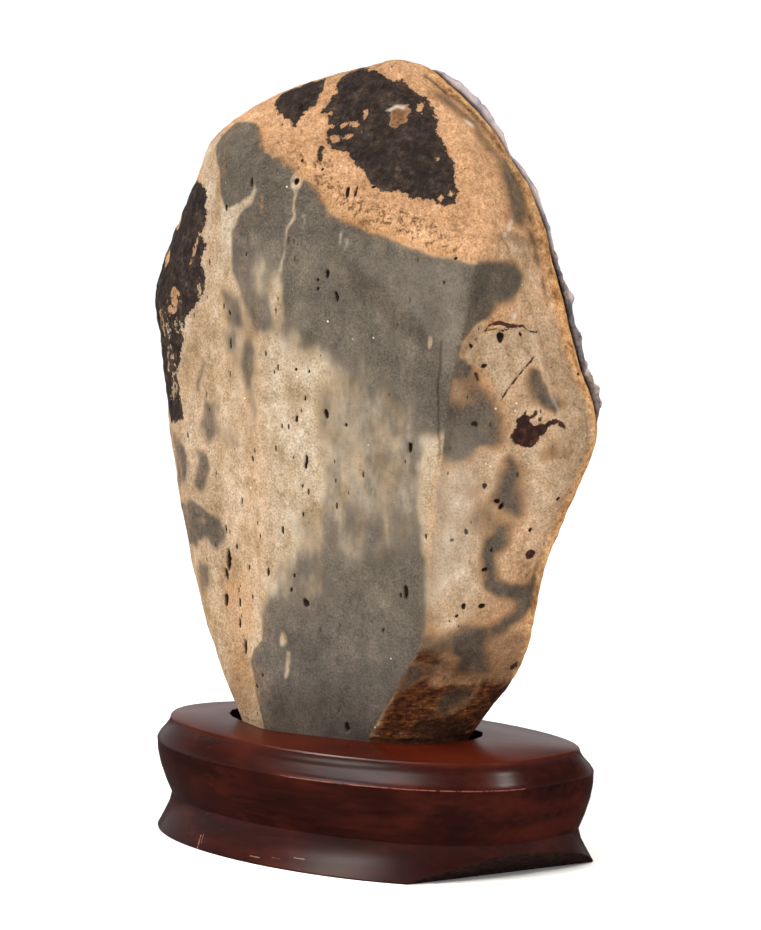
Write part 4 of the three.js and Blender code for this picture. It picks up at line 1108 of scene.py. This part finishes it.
# The walk round the rim starts at the point of the section that is nearest the middle.
middle = Vector((-0.01, 0.005))
rim_loop = [min(section.verts, key=lambda v: (v.co.xy - middle).length)]
ahead = rim_loop
while ahead:
    ahead = [e.other_vert(rim_loop[-1]) for e in rim_loop[-1].link_edges]
    ahead = [v for v in ahead if v not in rim_loop]
    rim_loop += ahead[:1]
bmesh.ops.delete(section, geom=[v for v in section.verts if v not in rim_loop],
                 context="VERTS")
for v in section.verts:
    v.co.z = STAND_HEIGHT * MM
rim_mesh = bpy.data.meshes.new("socket_rim")
section.to_mesh(rim_mesh)
section.free()
known = set(bm.verts)
bm.from_mesh(rim_mesh)
rim_edges = [e for e in bm.edges if e.verts[0] not in known]
bmesh.ops.bridge_loops(bm, edges=edges_among(top_loop) + rim_edges)
wall = bmesh.ops.extrude_edge_only(bm, edges=rim_edges)
wall_verts = [v for v in wall["geom"] if isinstance(v, bmesh.types.BMVert)]
bmesh.ops.translate(bm, verts=wall_verts, vec=(0, 0, -SOCKET_DEEP_MM * MM))
bmesh.ops.edgeloop_fill(bm, edges=[e for e in wall["geom"]
                                   if isinstance(e, bmesh.types.BMEdge)])
bmesh.ops.recalc_face_normals(bm, faces=bm.faces)
for face in bm.faces:
    face.smooth = True
for edge in bm.edges:
    if len(edge.link_faces) == 2 and edge.calc_face_angle() > math.radians(24):
        edge.smooth = False
stand_mesh = bpy.data.meshes.new("stand")
bm.to_mesh(stand_mesh)
bm.free()
stand = bpy.data.objects.new("wooden_stand", stand_mesh)
bpy.context.scene.collection.objects.link(stand)
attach(stand, "root")
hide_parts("stand")
print("stand:", len(stand_mesh.polygons), "faces, socket rim of", len(rim_loop), "points")

# %% [markdown]
# ## The stand: its lacquered wood
#
# The wood is a dark rosewood, stained red-brown and rubbed with a thin lacquer.
# Its grain runs along the length of the stand, so the noise that draws it is
# stretched ten times along X. Broad warm and dark clouds are the stain, which the
# wood took up unevenly, and one knot lies in the shoulder. The lacquer is thin, so
# the pores of the wood still show in it, and its gloss is soft.

# %% Lacquered wood and raw wood
lacquered, tree = new_material("rubbed_lacquer_on_rosewood")
spot = add(tree, "TexCoord").outputs["Object"]
noises = []
for stretch, size, detail, roughness in (
        ((0.1, 1, 1), 2.4, 5, 0.6), ((0.1, 1, 1), 0.7, 3, 0.7), ((0.4, 0.4, 1), 13, 3, 0.5)):
    stretched = add(tree, "Mapping", {"Vector": spot, "Scale": stretch}).outputs[0]
    noises.append(add(tree, "TexNoise", {"Vector": stretched, "Scale": 1 / (size * MM),
                                         "Detail": detail, "Roughness": roughness}).outputs["Fac"])
grain, pores, blotch = noises
place = add(tree, "SeparateXYZ", {"Vector": spot})
colour = add(tree, "ValToRGB", {"Fac": grain},
             [(0.3, "#1e0603"), (0.5, "#240905"), (0.7, "#2d0e08")]).outputs[0]
knot_reach = add(tree, "VectorMath", {0: spot, 1: (-0.020, -0.0455, 0.035)},
                 operation="DISTANCE").outputs["Value"]
knot_wavy = add(tree, "Math", {0: blotch, 1: 0.012, 2: knot_reach},
                operation="MULTIPLY_ADD").outputs[0]
# The top, painted redder and lighter than the sides as painted light from above, the warm and the dark
# stain, and the knot. Each row is a value, where on it the colour starts and is full, its share at the
# most, and the colour.
for value, none, full, most, over in (
        (place.outputs["Z"], 0.043, 0.0449, 0.75, "#421307"), (blotch, 0.48, 0.32, 0.55, "#40150a"),
        (blotch, 0.5, 0.68, 0.7, "#170604"), (knot_wavy, 0.015, 0.005, 0.6, "#100403")):
    mask = add(tree, "MapRange", {0: value, 1: none, 2: full, 4: most}).outputs[0]
    colour = add(tree, "Mix", {0: mask, 6: colour, 7: over}, data_type="RGBA").outputs[2]

# Wear and a painted highlight: a thin pale line along the arris is painted highlight, and a few
# scratches and chips show the bare wood.
# Each mark is its middle and half its size along X and Z in mm, and its colour. Marks are
# on the front only, and the pores of the wood break them up.
on_front = add(tree, "Math", {0: place.outputs["Y"], 1: 0.0}, operation="LESS_THAN").outputs[0]
open_pore = add(tree, "MapRange", {0: pores, 1: 0.4, 2: 0.5}).outputs[0]
for mid_x, half_x, mid_z, half_z, over in (
        # The first row is that line along the arris, a painted highlight.
        (36, 44, 35.9, 0.22, "#6d3a30"), (-50.6, 0.2, 2.8, 2.4, "#7d5f58"),
        (-49.3, 0.2, 4.4, 1.8, "#6b4a42"), (-20.6, 2.4, 2.6, 0.14, "#7d5f58"),
        (-10.9, 1.8, 3.5, 0.1, "#6b4a42"), (-0.7, 2.4, 4.7, 0.14, "#7d5f58")):
    within_x, within_z = (
        add(tree, "Math", {0: place.outputs[axis], 1: middle * MM, 2: half * MM},
            operation="COMPARE").outputs[0]
        for axis, middle, half in (("X", mid_x, half_x), ("Z", mid_z, half_z)))
    here = within_x
    for factor in (within_z, on_front, open_pore):
        here = add(tree, "Math", {0: here, 1: factor}, operation="MULTIPLY").outputs[0]
    colour = add(tree, "Mix", {0: here, 6: colour, 7: over}, data_type="RGBA").outputs[2]
bump = add(tree, "Bump", {"Strength": 0.3, "Distance": 0.05 * MM, "Height": pores})
surface = add(tree, "BsdfPrincipled", {
    "Base Color": colour, "Roughness": 0.26, "IOR": 1.5,
    "Specular IOR Level": 0.12, "Normal": bump.outputs[0]})
add(tree, "OutputMaterial", {"Surface": surface.outputs["BSDF"]})

raw, tree = new_material("raw_sawn_rosewood")
spot = add(tree, "TexCoord").outputs["Object"]
saw_marks = add(tree, "TexNoise", {"Vector": spot, "Scale": 1 / (2 * MM), "Detail": 5}).outputs[0]
tone = add(tree, "ValToRGB", {"Fac": saw_marks}, [(0.35, "#120806"), (0.65, "#2e1a12")])
bump = add(tree, "Bump", {"Strength": 1.0, "Distance": 0.4 * MM, "Height": saw_marks})
surface = add(tree, "BsdfPrincipled", {"Base Color": tone.outputs[0], "Roughness": 0.85,
                                       "Specular IOR Level": 0.1,
                                       "Normal": bump.outputs[0]})
add(tree, "OutputMaterial", {"Surface": surface.outputs["BSDF"]})
for material in (lacquered, raw):
    stand_mesh.materials.append(material)
print("stand materials:", [material.name for material in stand_mesh.materials])
